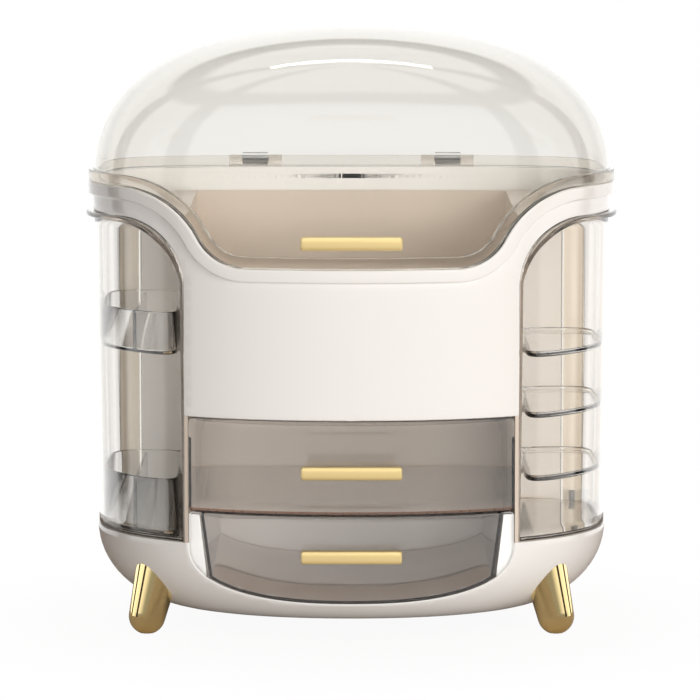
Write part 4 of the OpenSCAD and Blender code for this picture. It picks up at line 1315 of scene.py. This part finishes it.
def build_doors() -> None:
    """Makes the doors with their lips, the left door's bins and the right door's shelves."""
    door = Door()
    tiers = Tiers(door)
    for name, form, kind, node in (("door", door.build(), TEA_CLEAR, "_door_shell"),
                                   ("door_lip", door.lip(), TEA_EDGE, "")):
        for side, part in (("right", form), ("left", form.mirrored())):
            piece(f"{side}_{name}", part, f"{side}_door", Slot.DOOR, kind, node and side + node)
    places = (door.foot + door.floor + tiers.lift, CAB.deck_z + tiers.rises[-1])
    for name, z, height in zip(("lower", "upper"), places, tiers.bin_heights):
        piece(f"left_bin_{name}", tiers.bin(z, height).mirrored(), "left_door", Slot.TIER, TEA_TIER,
              f"left_tier_{name}")
    for name, rise in zip(("low", "mid", "high"), tiers.rises):
        piece(f"right_tray_{name}", tiers.shelf(CAB.deck_z + rise), "right_door", Slot.TIER, TEA_TIER,
              f"right_shelf_{name}")


def build_drawers() -> None:
    """Makes the drawers' fronts and tubs, and the three handles."""
    drawers = Drawers()
    # The tubs' tints are partly painted shade, the lower tub's the darker.
    for name, front, tub, slot, kind in (
            ("upper", drawers.upper_front(), drawers.upper_tub(), Slot.TAUPE, UPPER_TUB_TINT_AND_SHADE),
            ("lower", drawers.lower_front(), drawers.lower_tub(), Slot.SMOKE, LOWER_TUB_TINT_AND_SHADE)):
        body = f"{name}_drawer"
        piece(f"{name}_front", front, body, Slot.DRAWER, DRAWER_CLEAR, f"{body}_front")
        piece(f"{name}_tub", tub, body, slot, kind, f"{body}_tub")
    handle = Handle()
    post_x, low_z = handle.pitch / 2, CAB.deck_z - handle.lower_down
    seat, low_seat = CAB.front_y(post_x), CAB.bowl_front_y(post_x, low_z)
    for name, body, z, y in (("upper", "upper_drawer", CAB.shelf_z + handle.upper_up, seat),
                             ("lower", "lower_drawer", low_z, low_seat),
                             ("lid", "lid", CAB.valley_z + handle.lid_up, seat)):
        piece(f"{name}_bar", handle.build(z, y), body, Slot.GOLD, GOLD_SATIN, f"{body}_handle")


def main() -> None:
    """Builds the cabinet's pieces in order, then the studio."""
    logging.basicConfig(level=logging.INFO, format="%(name)s: %(message)s")
    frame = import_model()

    piece("bowl", Bowl().build(), "cabinet", Slot.WHITE, WHITE, "base_pan")
    piece("shell", Body().build(), "cabinet", Slot.WHITE, WHITE, "body_shell")
    lid = Lid()
    piece("dome", lid.build(), "lid", Slot.LID, LID_CLEAR, "lid_dome")
    piece("dome_rim", lid.rim(), "lid", Slot.LID, LID_EDGE)
    build_doors()
    build_drawers()
    leg = Leg()
    for side, right in (("left", -1), ("right", 1)):
        for end, rear in (("front", -1), ("rear", 1)):
            piece(f"foot_{end}_{side}", leg.build(right, rear), "cabinet", Slot.GOLD, GOLD_POLISHED,
                  f"leg_{end}_{side}")

    dress(frame, {name: STEEL for name in frame["nodes"] if name.endswith(("_screws", "_pins"))})
    # The column's and the top tray's colour is painted shade on white plastic.
    dress(frame, {"column": PAINTED_SHADE_WHITE, "top_tray": PAINTED_SHADE_WHITE, "drawer_shelf": DRAWER_CLEAR})

    set_camera()
    set_world("#F0DAC8", left=0.044, right=0.44)
    add_lamp("key", (1.5, 1.3), (1.50, -2.1, 0.72), 29.5)
    add_lamp("front", (1.3, 0.5), (0.15, -3.0, 0.27), 40.0, "#FFFEFC")
    add_lamp("back", (1.4, 1.0), (-0.4, 2.6, 0.9), 22.0, "#FFFAF5")
    add_lamp("strip", (0.95, 0.04), (0.0, 0.12, 1.60), 2.5, mirrored=True)
    set_floor()

    view = bpy.context.scene.view_settings
    view.view_transform = "Standard"


if __name__ == "__main__":
    main()
